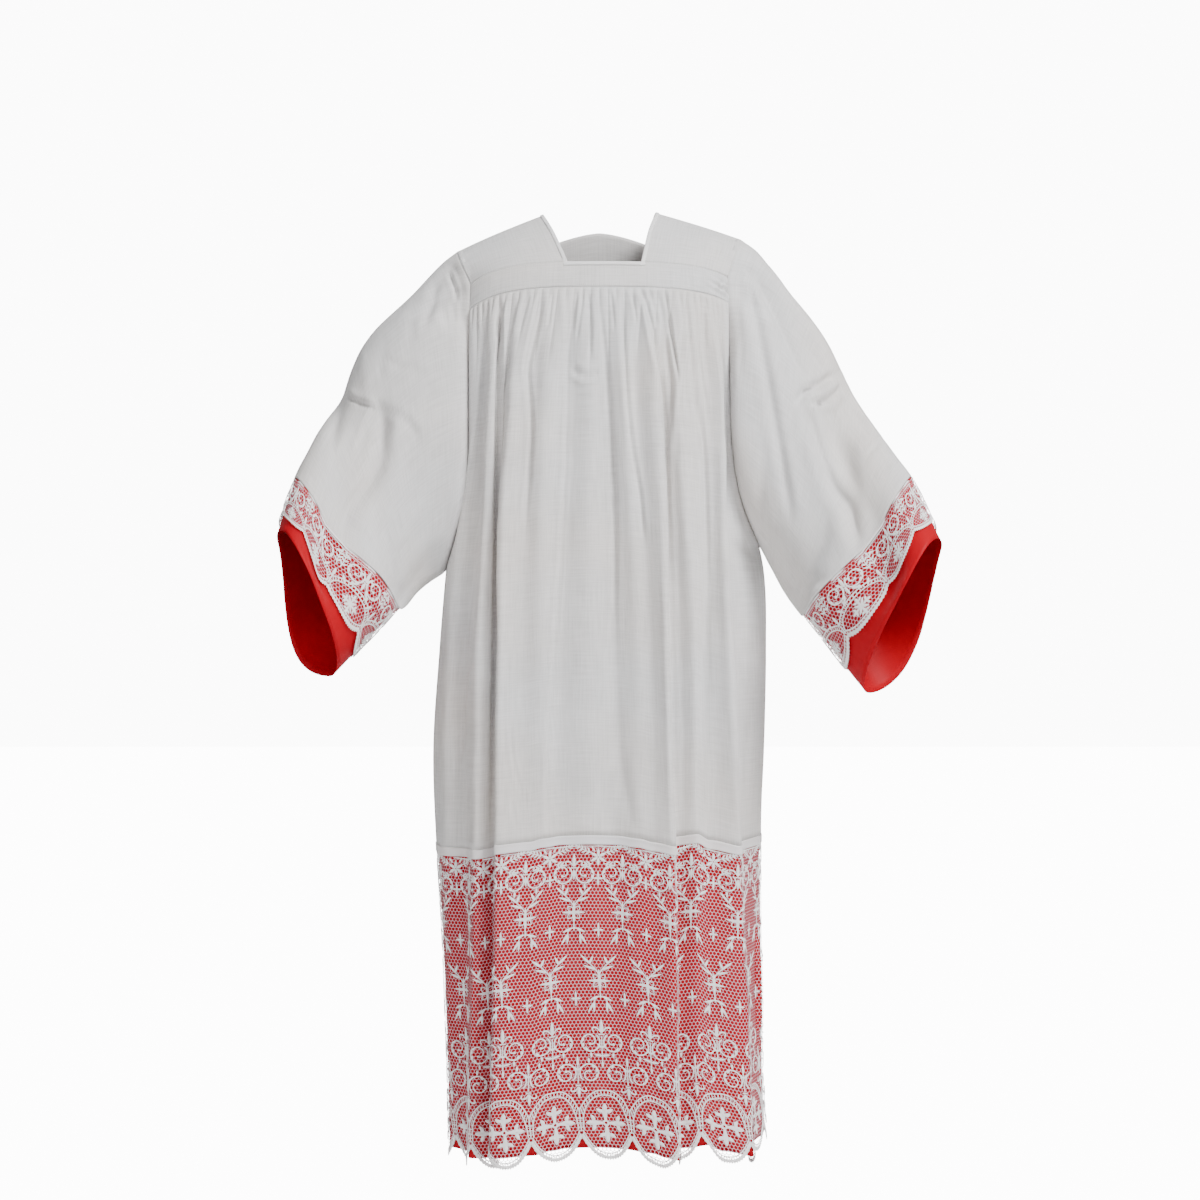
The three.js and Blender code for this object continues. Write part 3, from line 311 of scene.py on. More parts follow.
def on_ring(along, z):
    """Points of the folded body at places counted in fold lines round it, and at heights z."""
    along, z = np.broadcast_arrays(np.asarray(along, float), np.asarray(z, float))
    level = np.clip((RING_HEIGHTS[0] - z) / RING_STEP, 0, len(RING_HEIGHTS) - 1.001)
    low = level.astype(int)
    part = (level - low)[..., None]
    k = np.floor(along).astype(int)
    t = (along - k)[..., None]
    four = [mix(RINGS[low, (k + d) % RING_POINTS], RINGS[low + 1, (k + d) % RING_POINTS], part)
            for d in (-1, 0, 1, 2)]
    return np.concatenate([between(*four, t), z[..., None]], -1)


def share_of(face, along):
    local = (along - FOLD_START[face]) / FOLD_SPACES[face]
    return 2 * local - 1 if face == "front" else 1 - 2 * local


def yoke_seam(share, face):
    share = np.asarray(share, float)
    if face == "back":
        return np.full(share.shape, float(YOKE_SEAM_Z_BACK))
    fall = np.where(share < 0, SIDES["right"].seam_fall, SIDES["left"].seam_fall)
    return YOKE_SEAM_Z - fall * np.abs(share) ** 3


DROPS = ([SIDES["right"].drop] + [line.drop for line in FRONT] + [SIDES["left"].drop]
         + [SIDES["left"].drop] + [line.drop for line in BACK] + [SIDES["right"].drop])


def tape_top(along):
    i = np.floor(along).astype(int)
    drops = np.array(DROPS, float)
    return TAPE_Z - mix(drops[i % RING_POINTS], drops[(i + 1) % RING_POINTS], smooth(along - i, 0, 1))


def gather(face, along, below):
    """How far the gathers stand off the folds, below the yoke seam."""
    local = along - FOLD_START[face]
    to_edge = smooth(np.minimum(local, FOLD_SPACES[face] - local), 0, 0.4)
    fine = np.floor(local * 2 + 1e-9)
    long = np.floor(local + 1e-9)
    fine_reach = 26 + 34 * uneven(fine + (0 if face == "front" else 71))
    long_reach = 90 + 110 * uneven(long + (31 if face == "front" else 113))
    fine_wave = np.abs(np.sin(np.pi * local * 2)) ** 0.8 * (0.6 + 0.8 * uneven(fine + 7))
    long_wave = np.abs(np.sin(np.pi * local)) ** 0.8 * (0.6 + 0.8 * uneven(long + 17))
    fine_fade = smooth(below, 0, 5) * (1 - smooth((below - 5) / (fine_reach - 5), 0, 1))
    long_fade = smooth(below, 4, 34) * (1 - smooth((below - 40) / (long_reach - 40), 0, 1))
    return to_edge * (GATHER_DEPTH * fine_wave * fine_fade + TUCK_DEPTH * long_wave * long_fade)


# Creases laid along the cloth, each a line of places across and up: how far the cloth steps from its left
# side to its right, how deep the valley in the line is, how wide, and how far to each side it still shows.
Crease = namedtuple("Crease", "path step valley wide reach")
FRONT_CREASES = [
    Crease(((-160, -138), (-162, -329), (-168, -492), (-186, -684), (-201, -888)), 3.0, 3.0, 4.5, 24),
    Crease(((-137, -130), (-139, -240), (-142, -544), (-147, -910)), 2.8, 9.5, 3.6, 22),
    Crease(((-138, -174), (-139, -215), (-140, -270)), 0.0, 4.0, 1.9, 8),
    Crease(((-113, -127), (-122, -204), (-130, -281)), 1.8, 1.2, 2.5, 13),
    Crease(((-81, -121), (-100, -206), (-105, -239)), 0.0, 2.4, 2.0, 10),
    Crease(((-75, -121), (-93, -199), (-98, -236),
            (-93, -301), (-94, -342), (-104, -472)), 0.0, 3.6, 3.2, 10),
    Crease(((-45, -120), (-46, -301), (-53, -465), (-68, -711), (-74, -877)), -3.2, 2.2, 2.4, 30),
    Crease(((0, -127), (12, -250), (19, -356), (22, -480), (21, -620)), 1.8, 2.6, 3.6, 22),
    Crease(((20, -560), (23, -684), (34, -793), (52, -877)), 0.8, 1.5, 7.0, 20),
    Crease(((30, -121), (42, -308), (57, -410), (61, -465)), 1.0, 2.2, 2.8, 12),
    Crease(((44, -122), (48, -145), (51, -168)), 0.0, 1.6, 1.8, 8),
    Crease(((55, -117), (64, -138), (81, -219), (89, -329), (100, -684), (102, -888)), -5.6, 6.2, 3.0, 24),
    Crease(((91, -121), (100, -182), (109, -243)), 0.0, 4.2, 2.0, 9),
    Crease(((82, -122), (94, -206), (96, -247), (93, -301)), -1.0, 2.0, 3.0, 12),
    Crease(((108, -244), (102, -302), (97, -359)), 0.0, -2.6, 5.0, 12),
    Crease(((120, -133), (132, -260), (145, -342), (149, -547)), 0.5, 3.6, 2.8, 12),
    Crease(((146, -547), (142, -714), (138, -881)), 1.6, 3.0, 6.0, 18),
    Crease(((132, -135), (135, -192), (149, -290)), 0.0, 1.8, 2.4, 9),
    Crease(((160, -127), (162, -158), (175, -247), (177, -315)), -1.2, 3.0, 2.6, 10),
    Crease(((177, -315), (180, -492), (199, -896)), -6.0, 4.0, 3.6, 22),
    Crease(((-41, -230), (-29, -239), (-16, -243), (-5, -240), (3, -232)), -2.2, 1.6, 2.2, 7),
    Crease(((-33, -222), (-16, -228), (0, -223)), 0.0, -1.6, 3.4, 8),
    Crease(((-64, -121), (-67, -146), (-70, -172)), 0.0, 1.6, 1.8, 8),
    Crease(((-30, -121), (-34, -150), (-37, -178)), 0.0, 1.8, 1.8, 8),
    Crease(((-22, -121), (-26, -156), (-31, -192)), 0.0, 1.6, 1.8, 8),
    Crease(((-16, -120), (-12, -165), (-12, -217)), 0.6, 2.4, 2.2, 8),
    Crease(((-132, -133), (-135, -156), (-138, -178)), 0.0, 1.8, 2.0, 8),
    Crease(((-143, -138), (-147, -172), (-146, -206)), 0.0, 1.2, 2.6, 8),
    Crease(((-96, -124), (-104, -154), (-112, -185)), 0.0, 1.8, 2.2, 8),
    Crease(((16, -121), (19, -150), (22, -178)), 0.0, 1.2, 2.0, 8),
    Crease(((70, -121), (76, -146), (82, -172)), 0.0, 1.4, 2.0, 8),
    Crease(((112, -124), (114, -150), (117, -176)), 0.0, 1.6, 2.0, 8),
    Crease(((145, -124), (146, -162), (147, -199)), 0.0, 1.4, 2.4, 8),
    Crease(((-120, -731), (-117, -765), (-109, -800), (-94, -828)), 0.0, 1.6, 1.8, 6),
    Crease(((-121, -820), (-116, -843), (-108, -860)), 0.0, 1.4, 1.6, 6),
    Crease(((194, -645), (208, -642), (221, -640)), 0.5, 0.8, 2.2, 6),
    Crease(((192, -667), (205, -670), (221, -667)), 0.5, 0.8, 2.2, 6),
    Crease(((216, -560), (217, -650), (209, -740), (208, -870)), 0.8, 2.6, 2.8, 9),
    Crease(((-195, -544), (-192, -602), (-195, -670)), 0.6, 1.2, 3.2, 8),
]
BACK_CREASES = [
    Crease(((-158, -154), (-172, -397), (-186, -640)), 2.5, 3.0, 4.2, 30),
    Crease(((-128, -154), (-124, -264), (-130, -400), (-136, -640)), -2.8, 3.5, 4.0, 28),
    Crease(((-104, -154), (-100, -209), (-96, -264)), 0.0, 1.5, 3.5, 9),
    Crease(((-72, -154), (-68, -190), (-74, -400)), -2.5, 3.0, 4.2, 30),
    Crease(((-46, -154), (-38, -264), (-34, -400)), 0.0, 2.0, 3.7, 9),
    Crease(((-10, -154), (-17, -397), (-24, -640)), -2.8, 3.5, 4.2, 30),
    Crease(((22, -154), (20, -209), (18, -264)), 0.0, 1.5, 3.7, 9),
    Crease(((50, -154), (54, -190), (50, -400)), -2.5, 3.0, 4.0, 28),
    Crease(((84, -154), (80, -190), (94, -640)), 2.8, 3.5, 4.2, 30),
    Crease(((110, -154), (113, -209), (116, -264)), 0.0, 1.5, 3.5, 9),
    Crease(((140, -154), (152, -400), (160, -640)), 2.8, 3.5, 4.0, 28),
    Crease(((168, -154), (182, -400), (200, -860)), -2.1, 2.5, 4.2, 30),
]


def crease_line(path):
    """Places close together on a smooth line through a few."""
    points = np.asarray(path, float)
    share = np.linspace(0, 1, len(points))
    at = np.linspace(0, 1, 20)
    return np.stack([through(share, points[:, 0], at), through(share, points[:, 1], at)], -1)


def creased(creases, x, z):
    """How far creased cloth stands off its plain form at places x across and z up."""
    out = np.zeros(x.shape)
    for crease in creases:
        line = crease_line(crease.path)
        margin = 3 * crease.reach
        near = ((x > line[:, 0].min() - margin) & (x < line[:, 0].max() + margin)
                & (z > line[:, 1].min() - margin) & (z < line[:, 1].max() + margin))
        if not near.any():
            continue
        place = np.stack([x[near], z[near]], -1)
        start, way = line[:-1], np.diff(line, axis=0)
        to = place[:, None] - start
        t = np.clip((to * way).sum(-1) / (way * way).sum(-1), 0, 1)
        off = to - way * t[..., None]
        gap = np.hypot(off[..., 0], off[..., 1])
        k = gap.argmin(1)
        rows = np.arange(len(k))
        share = (k + t[rows, k]) / len(way)
        side = np.sign(way[k, 1] * to[rows, k, 0] - way[k, 0] * to[rows, k, 1]) * -1
        d = side * gap[rows, k]
        fade = smooth(share, -0.04, 0.14) * (1 - smooth(share, 0.8, 1.02)) * (gap[rows, k] < margin)
        step = crease.step * np.tanh(d / crease.wide) * np.exp(-(d / crease.reach) ** 2)
        shoulders = 0.3 * np.exp(-((np.abs(d) - 2.2 * crease.wide) / (1.3 * crease.wide)) ** 2)
        valley = crease.valley * (np.exp(-(d / crease.wide) ** 2) - shoulders)
        out[near] += fade * (step - valley)
    return out


def rumpled(x, z, size, seed):
    """Slow unevenness of hand-pressed cloth, between -1 and 1."""
    u, v = x / size + seed * 7.3, z / (1.7 * size) + seed * 3.1
    i, j = np.floor(u), np.floor(v)
    a, b = smooth(u - i, 0, 1), smooth(v - j, 0, 1)
    corners = [uneven(i + di + 57 * (j + dj)) for dj in (0, 1) for di in (0, 1)]
    return 2 * mix(mix(corners[0], corners[1], a), mix(corners[2], corners[3], a), b) - 1


def outward(points):
    """Unit directions out of a sheet whose rows run down and whose columns run round it."""
    across = np.gradient(points, axis=1)
    down = np.gradient(points, axis=0)
    return unit(np.cross(down, across))


def outward_round(points):
    """Directions out of a sheet whose last column meets its first."""
    return outward(np.concatenate([points[:, -1:], points, points[:, :1]], 1))[:, 1:-1]


def cloth(face, along, z):
    """The outer side of the linen or lace, with its folds, gathers and creases."""
    point = on_ring(along, z)
    ahead, behind = on_ring(along + 0.02, z), on_ring(along - 0.02, z)
    ahead -= behind
    n = unit(np.stack([ahead[..., 1], -ahead[..., 0], np.zeros(point.shape[:-1])], -1))
    below = yoke_seam(share_of(face, along), face) - z
    local = along - FOLD_START[face]
    to_side = smooth(np.minimum(local, FOLD_SPACES[face] - local), 0, 1.0)
    x, z = point[..., 0], point[..., 2]
    fine = 0.9 * rumpled(x, z, 38, 1) + 0.35 * rumpled(x, z, 13, 2)
    lines = creased(FRONT_CREASES if face == "front" else BACK_CREASES, x, z)
    out = gather(face, along, below) + to_side * smooth(below, 0, 14) * (lines + fine)
    return point + n * out[..., None]


def even_places(face, z, count):
    """Places along a panel that are evenly spaced along the cloth itself at height z."""
    start, spaces = FOLD_START[face], FOLD_SPACES[face]
    places = np.linspace(start, start + spaces, spaces * 24 + 1)
    points = cloth(face, places, np.full(places.shape, float(z)))
    lengths = run_of(points)
    return np.interp(np.linspace(0, lengths[-1], count + 1), lengths, places), lengths[-1]


def panel_points(face, columns):
    start, spaces = FOLD_START[face], FOLD_SPACES[face]
    along = np.linspace(start, start + spaces, columns + 1)
    top = yoke_seam(share_of(face, along), face)
    bottom = tape_top(along) + SEAM
    shares = np.concatenate([np.linspace(0, 0.2, 34)[:-1], np.linspace(0.2, 1, 62)])
    z = mix(top[None, :], bottom[None, :], shares[:, None])
    return cloth(face, np.broadcast_to(along, z.shape), z)


def sheet_object(name, points, uv, material, wall, closed=False):
    """A cloth shell through rows of points in millimetres; uv is the flat cloth in metres."""
    rows, columns = points.shape[:2]
    spaces = columns if closed else columns - 1
    j, i = np.meshgrid(np.arange(rows - 1), np.arange(spaces), indexing="ij")
    nxt = (i + 1) % columns
    quads = np.stack([j * columns + i, (j + 1) * columns + i, (j + 1) * columns + nxt, j * columns + nxt], -1)
    quads = quads.reshape(-1, 4)
    mesh = bpy.data.meshes.new(name)
    mesh.from_pydata((points.reshape(-1, 3) * 0.001).tolist(), [], quads.tolist())
    layer = mesh.uv_layers.new(name="cloth")
    corners_i = np.stack([i, i, i + 1, i + 1], -1).reshape(-1)
    corners_j = np.stack([j, j + 1, j + 1, j], -1).reshape(-1)
    u = np.concatenate([uv[..., 0], uv[..., :1, 0] + uv[..., -1:, 0] + (uv[..., 1:2, 0] - uv[..., :1, 0])], 1)
    v = np.concatenate([uv[..., 1], uv[..., :1, 1]], 1)
    layer.data.foreach_set("uv", np.stack([u[corners_j, corners_i], v[corners_j, corners_i]], -1).ravel())
    mesh.polygons.foreach_set("use_smooth", np.ones(len(quads), bool))
    mesh.materials.append(material)
    thing = placed(name, mesh)
    shell = thing.modifiers.new("cloth_wall", "SOLIDIFY")
    shell.thickness = wall * 0.001
    shell.offset = -1
    shell.use_even_offset = False
    return thing


def flat_cloth(points):
    """UV of a sheet: metres along its rows and down its columns."""
    across = np.linalg.norm(np.diff(points, axis=1), axis=-1)
    down = np.linalg.norm(np.diff(points, axis=0), axis=-1).mean(1)
    mean_across = across.mean(0)
    u = np.concatenate([[0], np.cumsum(mean_across)]) * 0.001
    v = np.concatenate([[0], np.cumsum(down)]) * 0.001
    return np.stack(np.broadcast_arrays(u[None, :], -v[:, None]), -1)


def new_material(name, roughness):
    material = bpy.data.materials.new(name)
    material.use_nodes = True
    shader = material.node_tree.nodes["Principled BSDF"]
    shader.inputs["Roughness"].default_value = roughness
    return material, material.node_tree, shader


def colour_mix(tree, share, first, second, **settings):
    mixer = node(tree, "ShaderNodeMix", {0: share, 6: first, 7: second}, data_type="RGBA", **settings)
    return mixer.outputs[2]


def weave_group():
    """Plain weave: threads over and under each other, with thick and thin stretches in both directions."""
    tree = bpy.data.node_groups.new("plain_weave", "ShaderNodeTree")
    for name, kind, value in (("Thread Pitch", "NodeSocketFloat", 0.0006), ("Slub", "NodeSocketFloat", 0.5),
                              ("Seed", "NodeSocketFloat", 0.0)):
        tree.interface.new_socket(name, in_out="INPUT", socket_type=kind).default_value = value
    tree.interface.new_socket("Height", in_out="OUTPUT", socket_type="NodeSocketFloat")
    tree.interface.new_socket("Tone", in_out="OUTPUT", socket_type="NodeSocketFloat")
    inputs, output = node(tree, "NodeGroupInput"), node(tree, "NodeGroupOutput")
    uv = node(tree, "ShaderNodeUVMap", uv_map="cloth").outputs["UV"]
    split = node(tree, "ShaderNodeSeparateXYZ", {0: uv})

    def calc(operation, a, b):
        return node(tree, "ShaderNodeMath", {0: a, 1: b}, operation=operation).outputs[0]

    turns = calc("DIVIDE", math.pi, inputs.outputs["Thread Pitch"])
    warp = calc("SINE", calc("MULTIPLY", split.outputs["X"], turns), 0.5)
    weft = calc("SINE", calc("MULTIPLY", split.outputs["Y"], turns), 0.5)
    crossing = calc("MULTIPLY", warp, weft)
    slubs = []
    for across, down, apart in ((520, 22, 0.0), (26, 560, 7.0)):
        place = node(tree, "ShaderNodeMapping", {"Scale": (across, down, 1), "Vector": uv})
        seed = calc("ADD", inputs.outputs["Seed"], apart)
        noise = node(tree, "ShaderNodeTexNoise", {
            "Detail": 2, "Scale": 1, "Vector": place.outputs[0], "W": seed}, noise_dimensions="4D")
        slubs.append(noise.outputs[0])
    slub = calc("SUBTRACT", calc("ADD", *slubs), 1.0)
    scaled = calc("MULTIPLY", slub, inputs.outputs["Slub"])
    tree.links.new(calc("ADD", calc("MULTIPLY", crossing, 0.35), scaled), output.inputs["Height"])
    tree.links.new(calc("ADD", calc("MULTIPLY", scaled, 0.85), 0.5), output.inputs["Tone"])
    return tree


PLAIN_WEAVE = weave_group()


def cloth_material(name, light, dark, pitch, slub, seed, roughness, bump):
    """Woven cloth: a little lighter on thick threads, uneven in tone over a hand's breadth, and with painted
    bounced light that tints it warmer or cooler in broad patches.
    """
    material, tree, shader = new_material(name, roughness)
    weave = node(tree, "ShaderNodeGroup", node_tree=PLAIN_WEAVE)
    for key, value in (("Thread Pitch", pitch), ("Slub", slub), ("Seed", seed)):
        weave.inputs[key].default_value = value
    uv = node(tree, "ShaderNodeUVMap", uv_map="cloth").outputs["UV"]
    cloud = node(tree, "ShaderNodeTexNoise", {"Scale": 14, "Detail": 4, "Vector": uv})
    add = node(tree, "ShaderNodeMath", {0: cloud.outputs[0], 1: 0.35, 2: weave.outputs["Tone"]},
               operation="MULTIPLY_ADD")
    shade = node(tree, "ShaderNodeMapRange", {"From Min": 0.45, "From Max": 0.95, "Value": add.outputs[0]})
    blend = colour_mix(tree, shade.outputs[0], (*dark, 1), (*light, 1))
    # painted bounced light: a little warmer here and cooler there in broad patches, as light thrown back from
    # things around would tint the cloth
    drift = node(tree, "ShaderNodeTexNoise", {"Scale": 4.5, "Detail": 1, "Vector": uv})
    spread = node(tree, "ShaderNodeMapRange", {"From Min": 0.35, "From Max": 0.65, "Value": drift.outputs[0]})
    painted_bounce_tint = colour_mix(tree, spread.outputs[0], (1.0, 0.975, 0.955, 1), (0.965, 0.98, 1.0, 1))
    tinted = colour_mix(tree, 1, blend, painted_bounce_tint, blend_type="MULTIPLY")
    tree.links.new(tinted, shader.inputs["Base Color"])
    relief = node(tree, "ShaderNodeBump", {
        "Strength": bump, "Distance": 0.0002, "Height": weave.outputs["Height"]})
    tree.links.new(relief.outputs[0], shader.inputs["Normal"])
    return material


LINEN_THREAD = 0.0006
linen = cloth_material(
    "white_linen", (0.772, 0.754, 0.741), (0.602, 0.586, 0.573), LINEN_THREAD, 0.9, 3.0, 0.85, 0.35)
linen.node_tree.nodes["Principled BSDF"].inputs["Sheen Weight"].default_value = 0.12
linen.node_tree.nodes["Principled BSDF"].inputs["Sheen Roughness"].default_value = 0.5


LINEN_WALL, YOKE_WALL, LINING_WALL = 0.7, 0.9, 0.5


def name_piece(thing, nodes):
    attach(thing, "root")
    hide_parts(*nodes)


def finish_piece(thing, nodes):
    name_piece(thing, nodes)


PANEL_COLUMNS = {"front": 418, "back": 250}
for face in ("front", "back"):
    points = panel_points(face, PANEL_COLUMNS[face])
    panel = sheet_object(f"linen_panel_{face}", points, flat_cloth(points), linen, LINEN_WALL)
    finish_piece(panel, [f"panel_{face}"])


# ---- Yoke ---------------------------------------------------------------------------------------------
# A fitted double yoke of the same linen: a narrow band across the chest over the gathers, a deeper piece
# across the shoulder blades, and a piece over each shoulder. It carries the whole weight of the alb.
BAND_TOP = YOKE_SEAM_Z + BAND_HEIGHT
BACK_NECK_SHARE = 0.36


def on_yoke(share, z, face):
    share, z = np.broadcast_arrays(np.asarray(share, float), np.asarray(z, float))
    return np.concatenate([on_form(z, ARMHOLE_ANGLE * share, face), z[..., None]], -1)


def band_top(share):
    return yoke_seam(share, "front") + BAND_HEIGHT


def back_top(share):
    return mix(BACK_NECK_Z, YOKE_SEAM_Z_BACK + 42, np.abs(share) ** 1.5)


def share_at(x, z):
    half, shift = form_at(z)[:2]
    return float(np.arcsin((x - shift) / half) / ARMHOLE_ANGLE)


NECK_SHARE = {name: side.sign * share_at(side.sign * side.corner_x, BAND_TOP) for name, side in SIDES.items()}


def curve_through(points, t):
    """A smooth open curve through a few points, at shares t of its length in points."""
    points = np.asarray(points, float)
    points = np.vstack([2 * points[0] - points[1], points, 2 * points[-1] - points[-2]])
    place = np.clip(np.asarray(t, float), 0, 1) * (len(points) - 3)
    k = np.minimum(place.astype(int), len(points) - 4)
    w = (place - k)[..., None]
    return between(points[k], points[k + 1], points[k + 2], points[k + 3], w)


def shoulder_points(side_name, r, t):
    """Points of a shoulder piece: r from the neck to the arm, t from the band to the back yoke."""
    side = SIDES[side_name]
    near = NECK_SHARE[side_name]

    def band_edge(q):
        share = side.sign * mix(near, 1, q)
        return on_yoke(share, band_top(share) + SEAM, "front")

    def back_edge(q):
        share = side.sign * mix(BACK_NECK_SHARE, 1, q)
        return on_yoke(share, back_top(share) + SEAM, "back")

    sx, sy, sz = side.shoulder
    neck = curve_through([
        band_edge(0.0),
        (side.sign * mix(near * 190, side.neck_x, 0.62), -40, mix(BAND_TOP, side.neck_z, 0.62)),
        (side.sign * side.neck_x, 4, side.neck_z),
        (side.sign * (side.neck_x - 3), 46, side.neck_z - 3),
        back_edge(0.0)], t)
    arm = curve_through([
        band_edge(1.0),
        (side.sign * (sx - 6), sy - 38, sz - 18),
        (side.sign * sx, sy, sz),
        (side.sign * (sx - 5), sy + 42, sz - 17),
        back_edge(1.0)], t)
    r3, t3 = r[..., None], t[..., None]
    corners = mix(mix(band_edge(0.0), band_edge(1.0), r3), mix(back_edge(0.0), back_edge(1.0), r3), t3)
    across = mix(band_edge(r), back_edge(r), t3)
    return mix(neck, arm, r3) + (across - corners) * (1 - 0.8 * np.sin(np.pi * t3))


def yoke_grid(face, low, top, rows, columns):
    share = np.linspace(-1, 1, columns + 1)
    if face == "back":
        share = -share
    z = mix(top(share)[None, :], low(share)[None, :], np.linspace(0, 1, rows + 1)[:, None])
    return on_yoke(np.broadcast_to(share, z.shape), z, face)


band_points = yoke_grid("front", lambda q: yoke_seam(q, "front") + SEAM, band_top, 14, 140)
# the band's end is puckered where the sleeve's seam has caught it
PUCKER_X, PUCKER_Z, PUCKER_HEIGHT = 172, -110, 6.0
x, z = band_points[..., 0], band_points[..., 2]
pucker = np.exp(-(((x - PUCKER_X) / 16) ** 2 + ((z - PUCKER_Z) / 14) ** 2)) * np.sin(0.44 * x + 0.26 * z)
pucker = pucker * np.cos(0.36 * z - 0.12 * x + 0.8) * np.sin(np.linspace(0, math.pi, 15))[:, None] ** 0.6
band_points = band_points + outward(band_points) * (PUCKER_HEIGHT * pucker)[..., None]
back_points = yoke_grid("back", lambda q: yoke_seam(q, "back") + SEAM, back_top, 24, 80)
yoke_band = sheet_object("linen_yoke_band", band_points, flat_cloth(band_points), linen, YOKE_WALL)
finish_piece(yoke_band, ["yoke_front_band"])
yoke_back = sheet_object("linen_yoke_back", back_points, flat_cloth(back_points), linen, YOKE_WALL)
finish_piece(yoke_back, ["yoke_back"])

for side_name, side in SIDES.items():
    t, r = np.meshgrid(np.linspace(1, 0, 49), np.linspace(0, 1, 41), indexing="ij")
    if side.sign < 0:
        r = r[:, ::-1]
    points = shoulder_points(side_name, r, t)
    # small tucks where the sleeve's seam pulls the shoulder
    near_arm = np.exp(-((1 - r) / 0.2) ** 2 - ((t - 0.25) / 0.3) ** 2)
    pull = near_arm * (0.5 + 0.5 * np.sin(t * 46 + 3 * r))
    points = points - outward(points) * (2.0 * pull * smooth(1 - r, 0, 0.05))[..., None]
    strap = sheet_object(f"linen_shoulder_{side_name}", points, flat_cloth(points), linen, YOKE_WALL)
    finish_piece(strap, [f"yoke_shoulder_{side_name}"])


# ---- Neck edging --------------------------------------------------------------------------------------
# A strip of the linen cut on the cross, folded and stitched flat along the whole neck opening, square in
# front and shallow behind. It is whiter than the cloth beside it because it lies in four layers.
NECK_TRIM_WIDTH = 5.5


def edging_pairs():
    """Points on the neck's edge, each with a point of the cloth beside it."""
    def band(share):
        return [on_yoke(share, z, "front") for z in (band_top(share), band_top(share) - 17.8)]

    def back(share):
        top = back_top(share)
        return [on_yoke(share, z, "back") for z in (top, mix(top, YOKE_SEAM_Z_BACK, 0.34))]

    def strap(side_name, t):
        return [shoulder_points(side_name, np.array([r]), np.array([t]))[0] for r in (0.0, 1 / 6)]

    def mitre(beside, across):
        return [across[0], beside[1] - beside[0] + across[1]]

    def trim(pair):
        edge, beside = pair
        return edge, edge + (beside - edge) * NECK_TRIM_WIDTH / np.linalg.norm(beside - edge)

    front = [trim(band(share)) for share in np.linspace(-NECK_SHARE["right"], NECK_SHARE["left"], 25)]
    behind = [trim(back(share)) for share in np.linspace(BACK_NECK_SHARE, -BACK_NECK_SHARE, 33)]
    straps = {name: [trim(strap(name, t)) for t in np.linspace(0, 1, 33)] for name in SIDES}
    front[0], front[-1] = mitre(straps["right"][0], front[0]), mitre(straps["left"][0], front[-1])
    behind[0], behind[-1] = mitre(straps["left"][-1], behind[0]), mitre(straps["right"][-1], behind[-1])
    pairs = front + straps["left"][1:-1] + behind + straps["right"][-2:0:-1]
    return np.array([[pair[0] for pair in pairs], [pair[1] for pair in pairs]])


edge_row, inner_row = edging_pairs()
edging = np.array([mix(edge_row, inner_row, share) for share in (0, 0.12, 0.5, 0.88, 1)])
edging = edging + outward_round(edging) * np.array([0.7, 1.2, 1.35, 1.2, 0.7])[:, None, None]
trim_linen = cloth_material(
    "folded_linen_edging", (0.86, 0.855, 0.85), (0.77, 0.765, 0.765), LINEN_THREAD, 0.4, 5.0, 0.85, 0.3)
neck_trim = sheet_object("linen_neck_edging", edging, flat_cloth(edging), trim_linen, LINEN_WALL, closed=True)
finish_piece(neck_trim, ["neck_edging"])


# ---- Sleeves ------------------------------------------------------------------------------------------
# Each sleeve is one wide piece of linen, joined under the arm and set into a deep armhole. It hangs from
# the raised forearm in long shallow folds and is nipped at the bend of the elbow.
Ring = namedtuple("Ring", "at top front bottom back sag", defaults=[(0, 0, 0)])
SLEEVES = {
    "right": [
        Ring(0.09, (-224, 4, -69), (-190, -82, -285), (-223, -9, -511), (-196, 92, -285)),
        Ring(0.24, (-266, 2, -114), (-234, -90, -305), (-238, -13, -521), (-240, 88, -305)),
        Ring(0.43, (-325, 0, -172), (-284, -96, -348), (-255, -24, -536), (-288, 80, -348)),
        Ring(0.62, (-367, -5, -244), (-318, -108, -396), (-269, -41, -554), (-326, 62, -398)),
        Ring(0.81, (-393, -55, -312), (-331, -136, -437), (-275, -63, -560), (-350, 20, -440)),
        Ring(1, (-420, -110, -379), (-337, -165, -472), (-279, -85, -562), (-376, -18, -484), (-5, 4, -5)),
        Ring(2, (-433, -185, -452), (-366, -228, -552), (-366, -118, -654), (-436, -90, -566), (-12, 8, -12)),
    ],
    "left": [
        Ring(0.09, (228, 2, -56), (190, -88, -270), (232, -12, -479), (200, 92, -275)),
        Ring(0.24, (266, 1, -106), (232, -96, -300), (244, -26, -506), (240, 88, -300)),
        Ring(0.43, (320, 0, -177), (285, -100, -350), (263, -38, -542), (290, 80, -350)),
        Ring(0.62, (358, -5, -252), (322, -111, -403), (280, -50, -566), (330, 60, -402)),
        Ring(0.81, (398, -56, -322), (338, -141, -443), (283, -68, -569), (353, 16, -445)),
        Ring(1, (430, -110, -378), (350, -166, -478), (284, -86, -570), (382, -20, -488), (5, 4, -5)),
        Ring(2, (462, -185, -464), (394, -231, -545), (364, -120, -676), (452, -96, -574), (10, 8, -12)),
    ],
}

